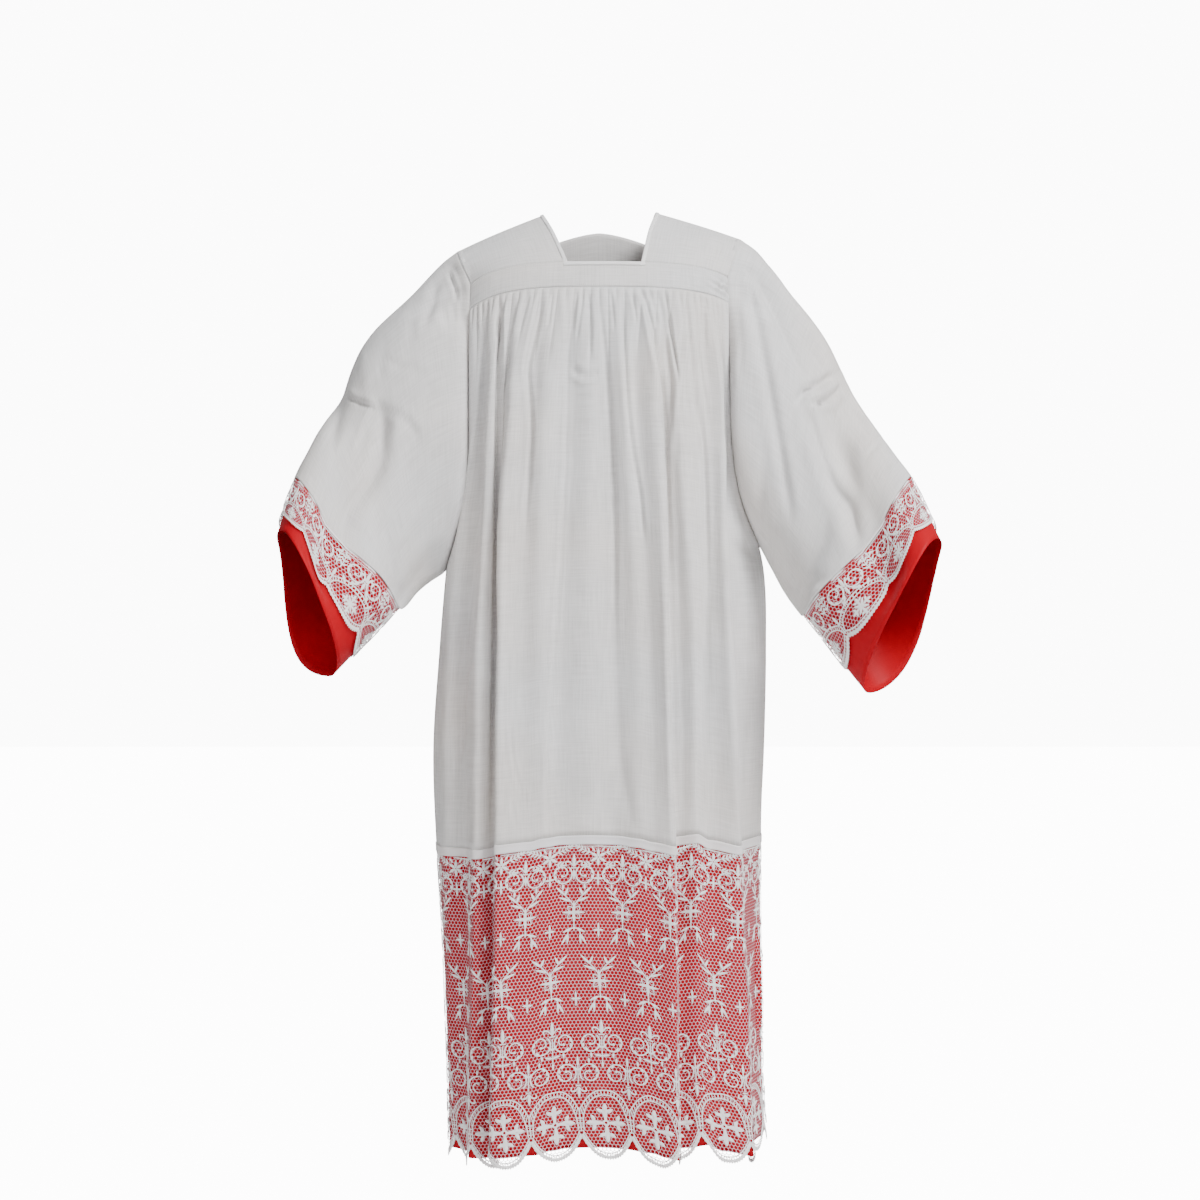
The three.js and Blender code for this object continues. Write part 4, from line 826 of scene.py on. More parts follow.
# Troughs and ridges, each from one place to another: the way down the sleeve, the angle from its top over
# its front in degrees, how far it stands off and how far it spreads to each side.
SleeveFold = namedtuple("SleeveFold", "at turn out wide")
SLEEVE_FOLDS = {
    "right": [
        SleeveFold((0.0, 0.2), (16, 24), -5, 6),
        SleeveFold((0.0, 0.26), (30, 36), -7, 6),
        SleeveFold((0.0, 0.16), (44, 46), -5, 6),
        SleeveFold((0.6, 0.72), (-40, 52), -10, 10),
        SleeveFold((0.55, 0.46), (62, 82), -8, 9),
        SleeveFold((0.62, 1.9), (70, 88), -17, 20),
        SleeveFold((0.3, 1.5), (118, 128), 7, 22),
        SleeveFold((0.1, 0.9), (152, 160), -5, 11),
        SleeveFold((0.2, 1.5), (-60, -78), -9, 18),
        SleeveFold((0.1, 1.2), (-118, -112), 8, 16),
        SleeveFold((0.0, 0.3), (-30, -36), -5, 7),
        SleeveFold((0.4, 1.6), (-148, -140), -7, 14),
    ],
    "left": [
        SleeveFold((0.0, 0.16), (40, 44), -6, 7),
        SleeveFold((0.05, 0.9), (20, 92), -9, 11),
        SleeveFold((0.1, 0.5), (8, 30), 4, 10),
        SleeveFold((0.64, 0.56), (14, 84), -10, 11),
        SleeveFold((0.7, 1.95), (72, 96), -15, 18),
        SleeveFold((0.3, 1.4), (124, 132), 7, 20),
        SleeveFold((0.1, 0.8), (146, 156), -6, 11),
        SleeveFold((0.2, 1.5), (-58, -74), -9, 17),
        SleeveFold((0.15, 1.3), (-112, -120), 8, 16),
        SleeveFold((0.0, 0.28), (-26, -34), -5, 7),
        SleeveFold((0.5, 1.7), (-146, -138), -8, 13),
    ],
}


# Creases of the front of each sleeve, by places across and up.
SLEEVE_CREASES = {
    "right": [
        Crease(((-214, -83), (-203, -110), (-199, -128)), 0.6, 4.4, 2.4, 9),
        Crease(((-180, -86), (-178, -109), (-176, -132)), 0.0, 2.4, 2.2, 8),
        Crease(((-231, -99), (-238, -134), (-244, -168)), 0.0, 2.4, 5.0, 12),
        Crease(((-263, -138), (-262, -168), (-266, -200)), 0.0, 1.2, 6.0, 14),
        Crease(((-207, -127), (-204, -143), (-201, -159)), 0.0, 1.6, 3.0, 8),
        Crease(((-302, -192), (-304, -217), (-302, -244)), 0.0, 1.0, 6.0, 14),
        Crease(((-299, -208), (-278, -221), (-257, -225), (-240, -233)), 0.6, 1.6, 4.0, 12),
        Crease(((-357, -257), (-342, -268), (-324, -275), (-309, -281)), 1.6, 5.0, 2.6, 10),
        Crease(((-314, -276), (-292, -284), (-268, -298), (-244, -325)), 0.8, 2.6, 4.6, 14),
        Crease(((-304, -278), (-299, -312), (-300, -345), (-311, -375),
                (-328, -405), (-337, -436), (-341, -490)), 0.6, 8.5, 9.0, 22),
        Crease(((-333, -192), (-322, -260), (-314, -294)), 0.0, -1.2, 8.0, 18),
        Crease(((-369, -301), (-362, -356), (-355, -375)), 0.0, 1.0, 6.0, 14),
        Crease(((-273, -492), (-262, -465), (-246, -438)), 0.0, 1.6, 7.0, 14),
        Crease(((-202, -370), (-212, -410), (-221, -451)), 0.0, 1.4, 8.0, 14),
    ],
    "left": [
        Crease(((207, -75), (212, -94), (218, -144)), 0.6, 4.2, 2.6, 9),
        Crease(((214, -124), (241, -284), (268, -445)), 1.8, 5.6, 6.0, 20),
        Crease(((214, -83), (238, -121), (262, -180), (290, -248)), -1.8, 6.0, 6.0, 18),
        Crease(((334, -230), (310, -244), (288, -256), (270, -279)), 2.8, 10.5, 5.0, 15),
        Crease(((345, -247), (326, -265), (304, -270), (288, -276)), 2.4, 6.6, 3.6, 12),
        Crease(((281, -279), (273, -301), (273, -335)), 0.0, -1.8, 7.0, 14),
        Crease(((292, -284), (302, -323), (322, -389), (336, -419), (348, -487)), 1.4, 8.0, 7.5, 20),
        Crease(((396, -323), (382, -334), (369, -346)), 0.5, 2.2, 3.0, 8),
        Crease(((259, -509), (281, -520), (308, -522), (336, -512)), 0.0, 2.4, 8.0, 16),
        Crease(((194, -138), (196, -192), (197, -247)), 0.0, 1.6, 4.5, 10),
        Crease(((232, -329), (224, -383), (221, -438)), 0.0, 1.6, 9.0, 16),
        Crease(((232, -473), (243, -491), (254, -509)), 0.0, -1.8, 6.0, 14),
    ],
}


def armhole_half(side_name, face):
    """The sewn edge from the top of the shoulder to the underarm, over the front or the back."""
    side = SIDES[side_name]
    start, spaces = FOLD_START[face], FOLD_SPACES[face]
    edge = start if (side.sign < 0) == (face == "front") else start + spaces
    shoulder_t = np.linspace(0.46, 0 if face == "front" else 1, 12)
    over = shoulder_points(side_name, np.ones(12), shoulder_t)
    top = band_top(side.sign) if face == "front" else back_top(side.sign)
    seam = float(yoke_seam(side.sign, face))
    down_yoke = on_yoke(float(side.sign), np.linspace(float(top), seam + SEAM, 5), face)
    z = mix(seam, side.underarm, np.sin(np.linspace(0, math.pi / 2, 60)))
    down_panel = on_ring(np.full(60, float(edge)), z)
    return np.vstack([over, down_yoke, down_panel[:-1], [(down_panel[-1][0], 0, side.underarm + SEAM)]])


def sleeve_form(side_name, at, turn):
    """The plain form of a sleeve: at counts from the armhole (0) to the lace (1) and the mouth (2)."""
    at, turn = np.broadcast_arrays(np.asarray(at, float), np.asarray(turn, float))
    halves = []
    for face in ("front", "back"):
        points = armhole_half(side_name, face)
        length = run_of(points)
        halves.append((points, length / length[-1]))

    def on_loop(angle):
        full = (np.asarray(angle, float) / math.pi) % 2
        place = np.where(full <= 1, full, 2 - full)
        front, back = [np.stack([np.interp(place, where, points[:, k]) for k in range(3)], -1)
                       for points, where in halves]
        return np.where((full <= 1)[..., None], front, back)

    rings = SLEEVES[side_name]
    places = [0] + [ring.at for ring in rings]
    quarter = on_loop(np.array([0, 0.5, 1, 1.5]) * math.pi)
    c, s = np.cos(turn)[..., None], np.sin(turn)[..., None]

    def oval(a, b, d, e):
        return 0.5 * (a + d) + 0.5 * (a - d) * c + 0.5 * (b - e) * s + 0.5 * (b + e - a - d) * s * s

    corners = []
    for q, key in enumerate(("top", "front", "bottom", "back")):
        along = [quarter[q]] + [getattr(ring, key) for ring in rings]
        corners.append(np.stack([through(places, [row[k] for row in along], at) for k in range(3)], -1))
    point = oval(*corners)
    sag = np.stack([through(places, [0] + [ring.sag[k] for ring in rings], at) for k in range(3)], -1)
    point = point + sag * np.maximum(0, -s) * np.sin(2 * turn)[..., None]
    fade = (1 - np.clip(at / 0.3, 0, 1)) ** 2
    return point + (on_loop(turn) - oval(*quarter)) * fade[..., None]


def sleeve_out(side_name, at, turn):
    degrees = (np.degrees(turn) + 180) % 360 - 180
    out = np.zeros(np.broadcast(at, turn).shape)
    for fold in SLEEVE_FOLDS[side_name]:
        way = np.array([(fold.at[1] - fold.at[0]) * 100, fold.turn[1] - fold.turn[0]])
        dx, dy = at * 100 - fold.at[0] * 100, degrees - fold.turn[0]
        t = np.clip((dx * way[0] + dy * way[1]) / (way @ way), 0, 1)
        off = np.hypot(dx - t * way[0], dy - t * way[1]) / fold.wide
        out += fold.out * smooth(np.minimum(t, 1 - t), -0.05, 0.22) * np.exp(-off * off)
    return out * smooth(at, 0, 0.06)


def sleeve_points(side_name, at, turn):
    """Rows down the sleeve and columns round it, ordered so that the cloth's right side faces out."""
    if SIDES[side_name].sign > 0:
        turn = -turn
    at, turn = np.meshgrid(at, turn, indexing="ij")
    plain = sleeve_form(side_name, at, turn)
    n = outward_round(plain)
    x, z = plain[..., 0], plain[..., 2]
    to_front = smooth(-n[..., 1], -0.1, 0.15) * smooth(at, 0, 0.03) * (1 - smooth(at, 0.93, 1.0))
    fine = 0.9 * rumpled(x + plain[..., 1], z, 42, 3) + 0.3 * rumpled(x - plain[..., 1], z, 15, 4)
    fine *= smooth(at, 0, 0.1)
    out = sleeve_out(side_name, at, turn) + to_front * creased(SLEEVE_CREASES[side_name], x, z) + fine
    return plain + n * out[..., None]


SLEEVE_COLUMNS = 176
SEAM_TURNING = 7
round_turns = np.linspace(0, 2 * math.pi, SLEEVE_COLUMNS, endpoint=False)
for side_name in SIDES:
    points = sleeve_points(side_name, np.linspace(0.002, 0.997, 92), round_turns)
    # the seam's turning goes on under the yoke and the panels
    n = outward_round(points)[0]
    back = unit(points[0] - points[2])
    turning = [points[0] + back * SEAM_TURNING * share - n * sink for share, sink in ((1.0, 2.4), (0.4, 1.6))]
    points = np.concatenate([turning, points])
    sleeve = sheet_object(
        f"linen_sleeve_{side_name}", points, flat_cloth(points), linen, LINEN_WALL, closed=True)
    finish_piece(sleeve, [f"sleeve_{side_name}"])


# ---- Red linings --------------------------------------------------------------------------------------
# A bright red satin-faced cotton hangs behind the skirt lace, caught into its seam and hemmed a little
# short of the scallops. Each cuff has the same lining, which goes on past its lace to the sleeve's mouth.
LACE_DROP = 437
LINING_SHORT = 14
LINING_TURNING = 5
SCALLOP_DEPTH = 31
HANG = 2.6
CUFF_LENGTH = 110
CUFF_LACE = 0.74
SCALLOPS_CUFF = 8
CUFF_SCALLOP_DEPTH = 13


def skirt_points(face, heights, columns):
    """Rows of the skirt below its seam, the same thread of cloth in the same column of every row."""
    top = even_places(face, TAPE_Z, columns)[0]
    rows = []
    for height in heights:
        places = even_places(face, TAPE_Z - height, columns)[0]
        rows.append(cloth(face, places, tape_top(top) - height))
    return np.array(rows)


satin = cloth_material(
    "red_lining_satin", (0.47, 0.0, 0.010), (0.39, 0.0, 0.007), 0.0005, 0.25, 9.0, 0.5, 0.2)
satin.node_tree.nodes["Principled BSDF"].inputs["Specular IOR Level"].default_value = 0.1

skirt = {}
for face in ("front", "back"):
    heights = np.linspace(0, LACE_DROP + 4, 76)
    points = skirt_points(face, heights, SCALLOPS_PANEL * 24)
    skirt[face] = (heights, points, outward(points))
    lined_heights = np.linspace(0.5, LACE_DROP - LINING_SHORT, 34)
    lined = skirt_points(face, lined_heights, 180)
    hang = np.where(lined_heights < 14, 1.8, HANG)
    n = outward(lined)
    lined = lined - n * hang[:, None, None]
    # the side seams' turnings lap behind one another
    start, end = unit(lined[:, :1] - lined[:, 1:2]), unit(lined[:, -1:] - lined[:, -2:-1])
    lined = np.concatenate([lined[:, :1] + LINING_TURNING * start - 1.2 * n[:, :1], lined,
                            lined[:, -1:] + LINING_TURNING * end - 1.2 * n[:, -1:]], 1)
    lining = sheet_object(f"red_skirt_lining_{face}", lined, flat_cloth(lined), satin, LINING_WALL)
    finish_piece(lining, [f"lining_{face}"])

cuffs = {}
for side_name in SIDES:
    ways = np.linspace(1.003, 2, 43)
    points = sleeve_points(side_name, ways, round_turns)
    n = outward_round(points)
    cuffs[side_name] = (ways, points, n)
    hang = smooth(ways, 1.0, 1.15) * 2.2 + 0.9
    lined = (points - n * hang[:, None, None])[::3]
    lining = sheet_object(
        f"red_cuff_lining_{side_name}", lined, flat_cloth(lined), satin, LINING_WALL, closed=True)
    finish_piece(lining, [f"cuff_lining_{side_name}"])


# ---- Woven tape ---------------------------------------------------------------------------------------
# A narrow cotton tape laid over the seam between the linen and the skirt lace and sewn down along both of
# its edges. It follows the hanging seam round every fold.
tape_cotton = cloth_material(
    "cotton_tape", (0.85, 0.82, 0.82), (0.76, 0.73, 0.73), 0.0009, 0.25, 7.0, 0.8, 0.4)
for face in ("front", "back"):
    points = skirt_points(face, np.array([-0.4, 0.2, 1.6, 2.3, 6.0, 9.6, 10.3, 11.6, 12.2]), 520)
    rise = np.array([0.15, 0.75, 0.95, 0.8, 1.0, 0.8, 0.95, 0.75, 0.15])
    points = points + outward(points) * rise[:, None, None]
    tape = sheet_object(f"cotton_tape_{face}", points, flat_cloth(points), tape_cotton, LINEN_WALL)
    finish_piece(tape, [f"tape_{face}"])


# ---- Skirt lace ---------------------------------------------------------------------------------------
# Cotton lace in the old bobbin style: an even six-sided net with raised motifs in heavier thread, worked
# in repeats as wide as one scallop. Borders of scrolls frame two rows of sprigs above a row of crosses.
NET_PITCH = 5.2
NET_ROW = 4.5
NET_STRAND = 0.8
NET_WELD = 0.02
NET_LIFT = -0.5


def open_group(tree, sockets):
    """Gives a geometry group its inputs and its one result; returns the inputs by name."""
    for name, kind in sockets:
        tree.interface.new_socket(name, in_out="INPUT", socket_type=f"NodeSocket{kind}")
    tree.interface.new_socket("Geometry", in_out="OUTPUT", socket_type="NodeSocketGeometry")
    return node(tree, "NodeGroupInput").outputs, node(tree, "NodeGroupOutput")


def through_group(name, mesh, tree, values):
    """The mesh that a geometry group makes of another one, which is then thrown away."""
    thing = placed(name, mesh)
    modifier = thing.modifiers.new(tree.name, "NODES")
    modifier.node_group = tree
    for item in tree.interface.items_tree:
        if item.item_type == "SOCKET" and item.in_out == "INPUT" and item.name in values:
            modifier[item.identifier] = values[item.name]
    bpy.context.view_layer.update()
    made = bpy.data.meshes.new_from_object(thing.evaluated_get(bpy.context.evaluated_depsgraph_get()))
    bpy.data.objects.remove(thing)
    bpy.data.meshes.remove(mesh)
    return made


def repeat_tree():
    """Repeats one flat pattern piece in rows and columns side by side and welds where the edges meet."""
    tree = bpy.data.node_groups.new("repeat_pattern", "GeometryNodeTree")
    source, result = open_group(tree, (
        ("Geometry", "Geometry"), ("Columns", "Int"), ("Rows", "Int"), ("Column Pitch", "Float"),
        ("Row Pitch", "Float"), ("Weld", "Float"), ("Thread", "Material")))

    def line(count, pitch, axis):
        offset = node(tree, "ShaderNodeCombineXYZ", {axis: source[pitch]})
        row = node(tree, "GeometryNodeMeshLine", {"Count": source[count], "Offset": offset.outputs[0]})
        return row.outputs[0]

    down = node(tree, "GeometryNodeInstanceOnPoints", {
        "Points": line("Rows", "Row Pitch", "Y"), "Instance": line("Columns", "Column Pitch", "X")})
    flat = node(tree, "GeometryNodeRealizeInstances", {0: down.outputs[0]})
    each = node(tree, "GeometryNodeInstanceOnPoints", {
        "Points": flat.outputs[0], "Instance": source["Geometry"]})
    real = node(tree, "GeometryNodeRealizeInstances", {0: each.outputs[0]})
    weld = node(tree, "GeometryNodeMergeByDistance", {
        "Geometry": real.outputs[0], "Distance": source["Weld"]})
    paint = node(tree, "GeometryNodeSetMaterial", {"Geometry": weld.outputs[0], "Material": source["Thread"]})
    tree.links.new(paint.outputs[0], result.inputs[0])
    return tree


REPEAT_PATTERN = repeat_tree()


def repeated(points, faces, columns, rows, pitch, row_pitch, weld, material):
    """The corners and faces of a flat pattern piece repeated side by side, in millimetres."""
    mesh = bpy.data.meshes.new("pattern_piece")
    mesh.from_pydata(np.asarray(points).tolist(), [], [list(face) for face in faces])
    plain = through_group("pattern_piece", mesh, REPEAT_PATTERN, {
        "Columns": columns, "Rows": rows, "Column Pitch": pitch, "Row Pitch": row_pitch, "Weld": weld,
        "Thread": material})
    corners = np.zeros(len(plain.vertices) * 3, np.float32)
    plain.vertices.foreach_get("co", corners)
    loops = np.zeros(len(plain.loops), np.int32)
    plain.loops.foreach_get("vertex_index", loops)
    sizes = np.zeros(len(plain.polygons), np.int32)
    plain.polygons.foreach_get("loop_total", sizes)
    bpy.data.meshes.remove(plain)
    return corners.reshape(-1, 3).astype(float), np.split(loops, np.cumsum(sizes)[:-1])


def net_piece(pitch, row, strand):
    """Two holes of the six-sided net: a bar on each side of a hole and a knot at each corner."""
    angles = np.radians(90 + 60 * np.arange(6))
    hole = (pitch - strand) / math.sqrt(3)
    points, faces = [], []

    def add(corners):
        faces.append(range(len(points), len(points) + len(corners)))
        for (cx, cy), k in corners:
            points.append((cx + hole * math.cos(angles[k]), cy + hole * math.sin(angles[k]), 0))

    for me in ((0, 0), (pitch / 2, row)):
        right = (me[0] + pitch, me[1])
        up_right, up_left = (me[0] + pitch / 2, me[1] + row), (me[0] - pitch / 2, me[1] + row)
        down_left, down_right = (me[0] - pitch / 2, me[1] - row), (me[0] + pitch / 2, me[1] - row)
        add([(me, 0), (up_right, 2), (up_left, 4)])
        add([(me, 3), (down_left, 5), (down_right, 1)])
        add([(me, 4), (right, 2), (right, 1), (me, 5)])
        add([(me, 0), (me, 5), (up_right, 3), (up_right, 2)])
        add([(me, 1), (me, 0), (up_left, 4), (up_left, 3)])
    return points, faces


def heading(degrees):
    """A step of one on flat lace: 0 is along it and 90 up to its top edge."""
    return np.array([math.cos(math.radians(degrees)), -math.sin(math.radians(degrees))])


class Threads:
    """Raised thread work on flat lace: s runs along the lace and t down from its top edge."""

    def __init__(self):
        self.points, self.faces = [], []

    def cord(self, path, width, raised=None):
        path = np.asarray(path, float)
        width = np.broadcast_to(np.asarray(width, float), len(path))
        raised = 0.42 * width if raised is None else np.broadcast_to(raised, len(path))
        way = unit(np.gradient(path, axis=0))
        side = np.stack([-way[:, 1], way[:, 0]], -1) * width[:, None] / 2
        base = len(self.points)
        for k in range(len(path)):
            for offset, height in ((-1, 0.1), (0, 0.1 + raised[k]), (1, 0.1)):
                s, t = path[k] + side[k] * offset
                self.points.append((s, -t, height))
        for k in range(len(path) - 1):
            for lane in (0, 1):
                a = base + 3 * k + lane
                self.faces.append((a, a + 1, a + 4, a + 3))

    def curve(self, corners, width, steps=8):
        self.cord(curve_through([(*corner, 0) for corner in corners], np.linspace(0, 1, steps))[:, :2], width)

    def leaf(self, s, t, degrees, length, width):
        way = heading(degrees)
        shares = np.array([0, 0.2, 0.5, 0.8, 1.0])
        self.cord(np.array([s, t]) + way * shares[:, None] * length,
                  width * np.array([0.3, 0.85, 1.0, 0.6, 0.1]), 0.22 * width)

    def petal(self, s, t, degrees, length, width, thread):
        """A leaf worked as an outline, with the net inside it."""
        way = heading(degrees)
        beside = np.array([-way[1], way[0]])
        shares = np.linspace(0, 1, 8)
        bulge = 0.5 * width * np.sin(math.pi * shares ** 0.85)
        for lean in (-1, 1):
            across = lean * beside * bulge[:, None]
            self.cord(np.array([s, t]) + way * shares[:, None] * length + across, thread)

    def ring(self, s, t, radius, width, steps=9):
        a = np.linspace(0, 2 * math.pi, steps)
        self.cord(np.stack([s + radius * np.cos(a), t + radius * np.sin(a)], -1), width)

    def flower(self, s, t, radius, petals, width):
        for k in range(petals):
            angle = 90 + 360 * k / petals
            reach = heading(angle) * 1.6
            self.leaf(s + reach[0], t + reach[1], angle, radius - 1.6, width)
        self.ring(s, t, 1.7, 1.3, 8)

    def scroll(self, s, t, radius, side, up=1, width=1.9):
        """A scroll that leaves its stem at the top, runs round below and outside, and curls in to a knob."""
        share = np.linspace(0, 1, 26)
        a = np.radians(130 + 520 * share)
        reach = radius * (1 - 0.78 * smooth(share, 0.42, 1.0))
        path = np.stack([s + side * reach * np.cos(a), t - up * reach * np.sin(a)], -1)
        self.cord(path, width * (1 - 0.3 * share))
        self.ring(*path[-1], 1.0, 1.7, 7)
        for degrees, length in ((-70, 0.44), (-32, 0.44), (4, 0.42), (36, 0.34)):
            rim = np.radians(degrees)
            self.leaf(s + side * radius * 0.92 * math.cos(rim), t - up * radius * 0.92 * math.sin(rim),
                      90 - side * 90 + side * up * (degrees + 118), length * radius, 0.19 * radius)

    def fern(self, s, t, degrees, length, leaves, bend):
        """A bent stem with short leaves on both sides."""
        turn = np.radians(degrees + bend * np.linspace(0, 38, 6))
        steps = np.stack([np.cos(turn), -np.sin(turn)], -1) * length / 5
        path = np.array([s, t]) + np.vstack([[0, 0], np.cumsum(steps[:-1], axis=0)])
        self.cord(path, 1.1)
        for k in range(leaves):
            place = (k + 1) / (leaves + 0.4) * 5
            low = min(int(place), 4)
            point = mix(path[low], path[low + 1], place - low)
            for lean in (-46, 46):
                self.leaf(*point, math.degrees(turn[low]) + lean, 7.6 - 0.6 * k, 2.2)
        self.leaf(*path[-1], math.degrees(turn[-1]), 7.0, 2.4)

    def small_cross(self, s, t):
        for degrees, length in ((90, 10), (0, 7), (180, 7), (-90, 10)):
            self.leaf(s, t, degrees, length, 2.8)

    def small_tree(self, s, t, length):
        """An upright stem with two pairs of leaves and one at its foot."""
        self.cord([(s, t), (s, t + 0.5 * length), (s, t + length)], 1.3)
        for side in (-1, 1):
            self.leaf(s, t + 0.42 * length, 90 - side * 48, 9, 2.7)
            self.leaf(s, t + 0.7 * length, 90 - side * 82, 11, 2.9)
        self.leaf(s, t + 0.9 * length, -90, 9, 3.0)

    def sprig(self, s, t):
        """A hanging spray about a four-armed flower: leafy branches above, drooping leaves below."""
        for side in (-1, 1):
            self.curve([(s + side * 1, t - 10), (s + side * 5, t - 16), (s + side * 13, t - 24)], 1.4, 6)
            self.curve([(s, t + 21), (s + side * 4, t + 22), (s + side * 8, t + 26), (s + side * 9, t + 31)],
                       1.4, 6)
            for across, down, lean, length in (
                    (12.5, -23.5, -46, 17), (12.5, -23, 24, 12), (4.5, -15, -70, 17),
                    (3, 21, -116, 14), (8.5, 29, -149, 17), (8.5, 29, -178, 14)):
                self.leaf(s + side * across, t + down, 90 + side * lean, length, 3.2)
        for k in range(4):
            dx, dt = heading(45 + 90 * k)
            self.leaf(s, t, 90 * k, 16, 3.0)
            self.petal(s + 2.2 * dx, t + 2.2 * dt, 45 + 90 * k, 9.5, 6.6, 1.1)
        self.ring(s, t, 1.8, 1.5, 9)
        self.cord([(s, t + 14), (s, t + 19), (s, t + 24)], 1.5)

    def fleur(self, s, t, size, up=1):
        """A three-leaved finial on a small bar."""
        self.leaf(s, t, 90 * up, size, 0.26 * size)
        for side in (-1, 1):
            self.curve([(s, t), (s + side * 0.34 * size, t - up * 0.38 * size),
                        (s + side * 0.64 * size, t - up * 0.36 * size),
                        (s + side * 0.56 * size, t - up * 0.04 * size)],
                       np.array([1.0, 1.5, 1.9, 2.1, 2.0, 1.7, 1.4, 1.0]))
        self.cord([(s - 0.22 * size, t + up * 1.6), (s + 0.22 * size, t + up * 1.6)], 1.6)

    def arch(self, half, apex, meet, foot, gap, bars):
        """A round arch that meets its neighbours, an inner line down to its foot, and short bars between."""
        top = apex + gap

        def outer(share):
            return np.stack([share * half, apex + (meet - apex) * np.abs(share) ** 2.6], -1)

        def inner(share):
            fall = 1 - (1 - np.minimum(np.abs(share), 1) ** 2.3) ** (1 / 2.3)
            return np.stack([share * (half - 0.55 * gap), top + (foot - top) * fall], -1)

        shares = np.sin(np.linspace(-math.pi / 2, math.pi / 2, 31))
        self.cord(outer(shares), 1.5)
        self.cord(inner(shares), 1.5)
        for share in np.sin(np.linspace(-1.24, 1.24, bars)):
            self.cord([outer(share), inner(share)], 1.1)
        self.cord([(half, meet), (half, mix(meet, foot, 0.5)), (half, foot + 2)], 1.6)
        for share in (0.965, 0.99, 0.999):
            for side in (-1, 1):
                s, t = inner(side * share)
                self.cord([(side * half, t), (s, t)], 1.1)

    def fleury_cross(self, s, t, size):
        """A cross whose closely filled arms widen and end in three leaves, round a small ring."""
        for k in range(4):
            a = math.pi / 2 * k
            way, beside = np.array([math.cos(a), -math.sin(a)]), np.array([math.sin(a), math.cos(a)])
            middle = np.array([s, t])
            along = np.array([0.1, 0.28, 0.46, 0.6, 0.7])[:, None]
            self.cord(middle + way * along * size, size * np.array([0.13, 0.15, 0.22, 0.34, 0.4]), 0.5)
            for lean in (-1, 1):
                tip = middle + (way * 0.55 + beside * lean * 0.13) * size
                self.leaf(*tip, 90 * k - lean * 58, 0.34 * size, 0.19 * size)
            tip = middle + way * 0.6 * size
            self.leaf(*tip, 90 * k, 0.42 * size, 0.25 * size)
        self.ring(s, t, 0.12 * size, 0.09 * size, 11)

    def scalloped_band(self, wide, drop, depth, bars):
        """The dense edge: a broad cord with picots, an open row with bars, and a thin cord inside."""
        u = np.linspace(0, 1, 33)
        for inset, width, raised in ((2.1, 4.3, 0.9), (7.6, 1.5, 0.6)):
            t = scallop_edge(u, drop, depth) - inset
            self.cord(np.stack([(u - 0.5) * (wide - inset * 0.5), t], -1), width, raised)
        for k in range(bars):
            share = (k + 0.5) / bars
            t = float(scallop_edge(np.array(share), drop, depth))
            s = (share - 0.5) * wide
            self.cord([(s * 0.985, t - 3.8), (s * 0.965, t - 7.4)], 1.1)
            self.cord([(s - 1.3, t - 0.5), (s, t + 1.1), (s + 1.3, t - 0.5)], [0.9, 1.6, 0.9])


def scallop_edge(turn, drop, depth):
    """How far down the scalloped edge lies; turn counts the scallops."""
    return drop - depth * np.abs(2 * (turn - np.floor(turn)) - 1) ** 2.3


def skirt_repeat(wide):
    """One repeat of the skirt lace, as wide as a scallop and centred on it."""
    work = Threads()
    half = wide / 2
    # a fan of ferns under the tape, and scrolls in pairs with a finial between them
    work.cord([(-half, 14.2), (0, 14.2), (half, 14.2)], 1.6)
    work.flower(0, 29, 12, 6, 4.0)
    for side in (-1, 1):
        work.fern(side * 7, 24, 90 - side * 74, 23, 4, side * 0.5)
        work.fern(side * 7, 37, 90 - side * 112, 10, 2, side * 0.4)
        work.scroll(side * (half - 15), 52, 12.5, -side)
        work.leaf(side * 5, 21, 90 - side * 34, 8, 2.6)
        work.leaf(side * (half - 15), 66, -90, 8, 3.0)
    work.fleur(half, 42, 18)
    work.leaf(half, 46, -90, 14, 3.6)
    work.small_cross(0, 58)
    # two rows of sprigs, half a repeat apart, with small crosses between
    work.sprig(half, 104)
    work.small_cross(0, 128)
    work.sprig(0, 197)
    work.small_cross(half, 221)
    # a border of scrolls under finials, and one the other way up
    work.fleur(0, 268, 19)
    work.small_tree(0, 272, 38)
    work.fleur(half, 340, 16, -1)
    work.cord([(half, 336), (half, 322), (half, 310)], 1.4)
    work.leaf(half, 312, 90, 14, 3.4)
    for side in (-1, 1):
        work.scroll(side * 15, 280, 12.5, side)
        work.scroll(side * (half - 15), 322, 12.5, -side, -1)
        work.leaf(side * 15, 294, -90, 7, 3.0)
        work.leaf(side * (half - 15), 308, 90, 7, 3.0)
        work.leaf(half, 318, 90 - side * 52, 9, 2.7)
    # each scallop holds a cross under an arch
    work.arch(half, 345, 372, 398, 6.5, 19)
    work.fleury_cross(0, 389, 26)
    work.scalloped_band(wide, LACE_DROP, SCALLOP_DEPTH, 20)
    return work


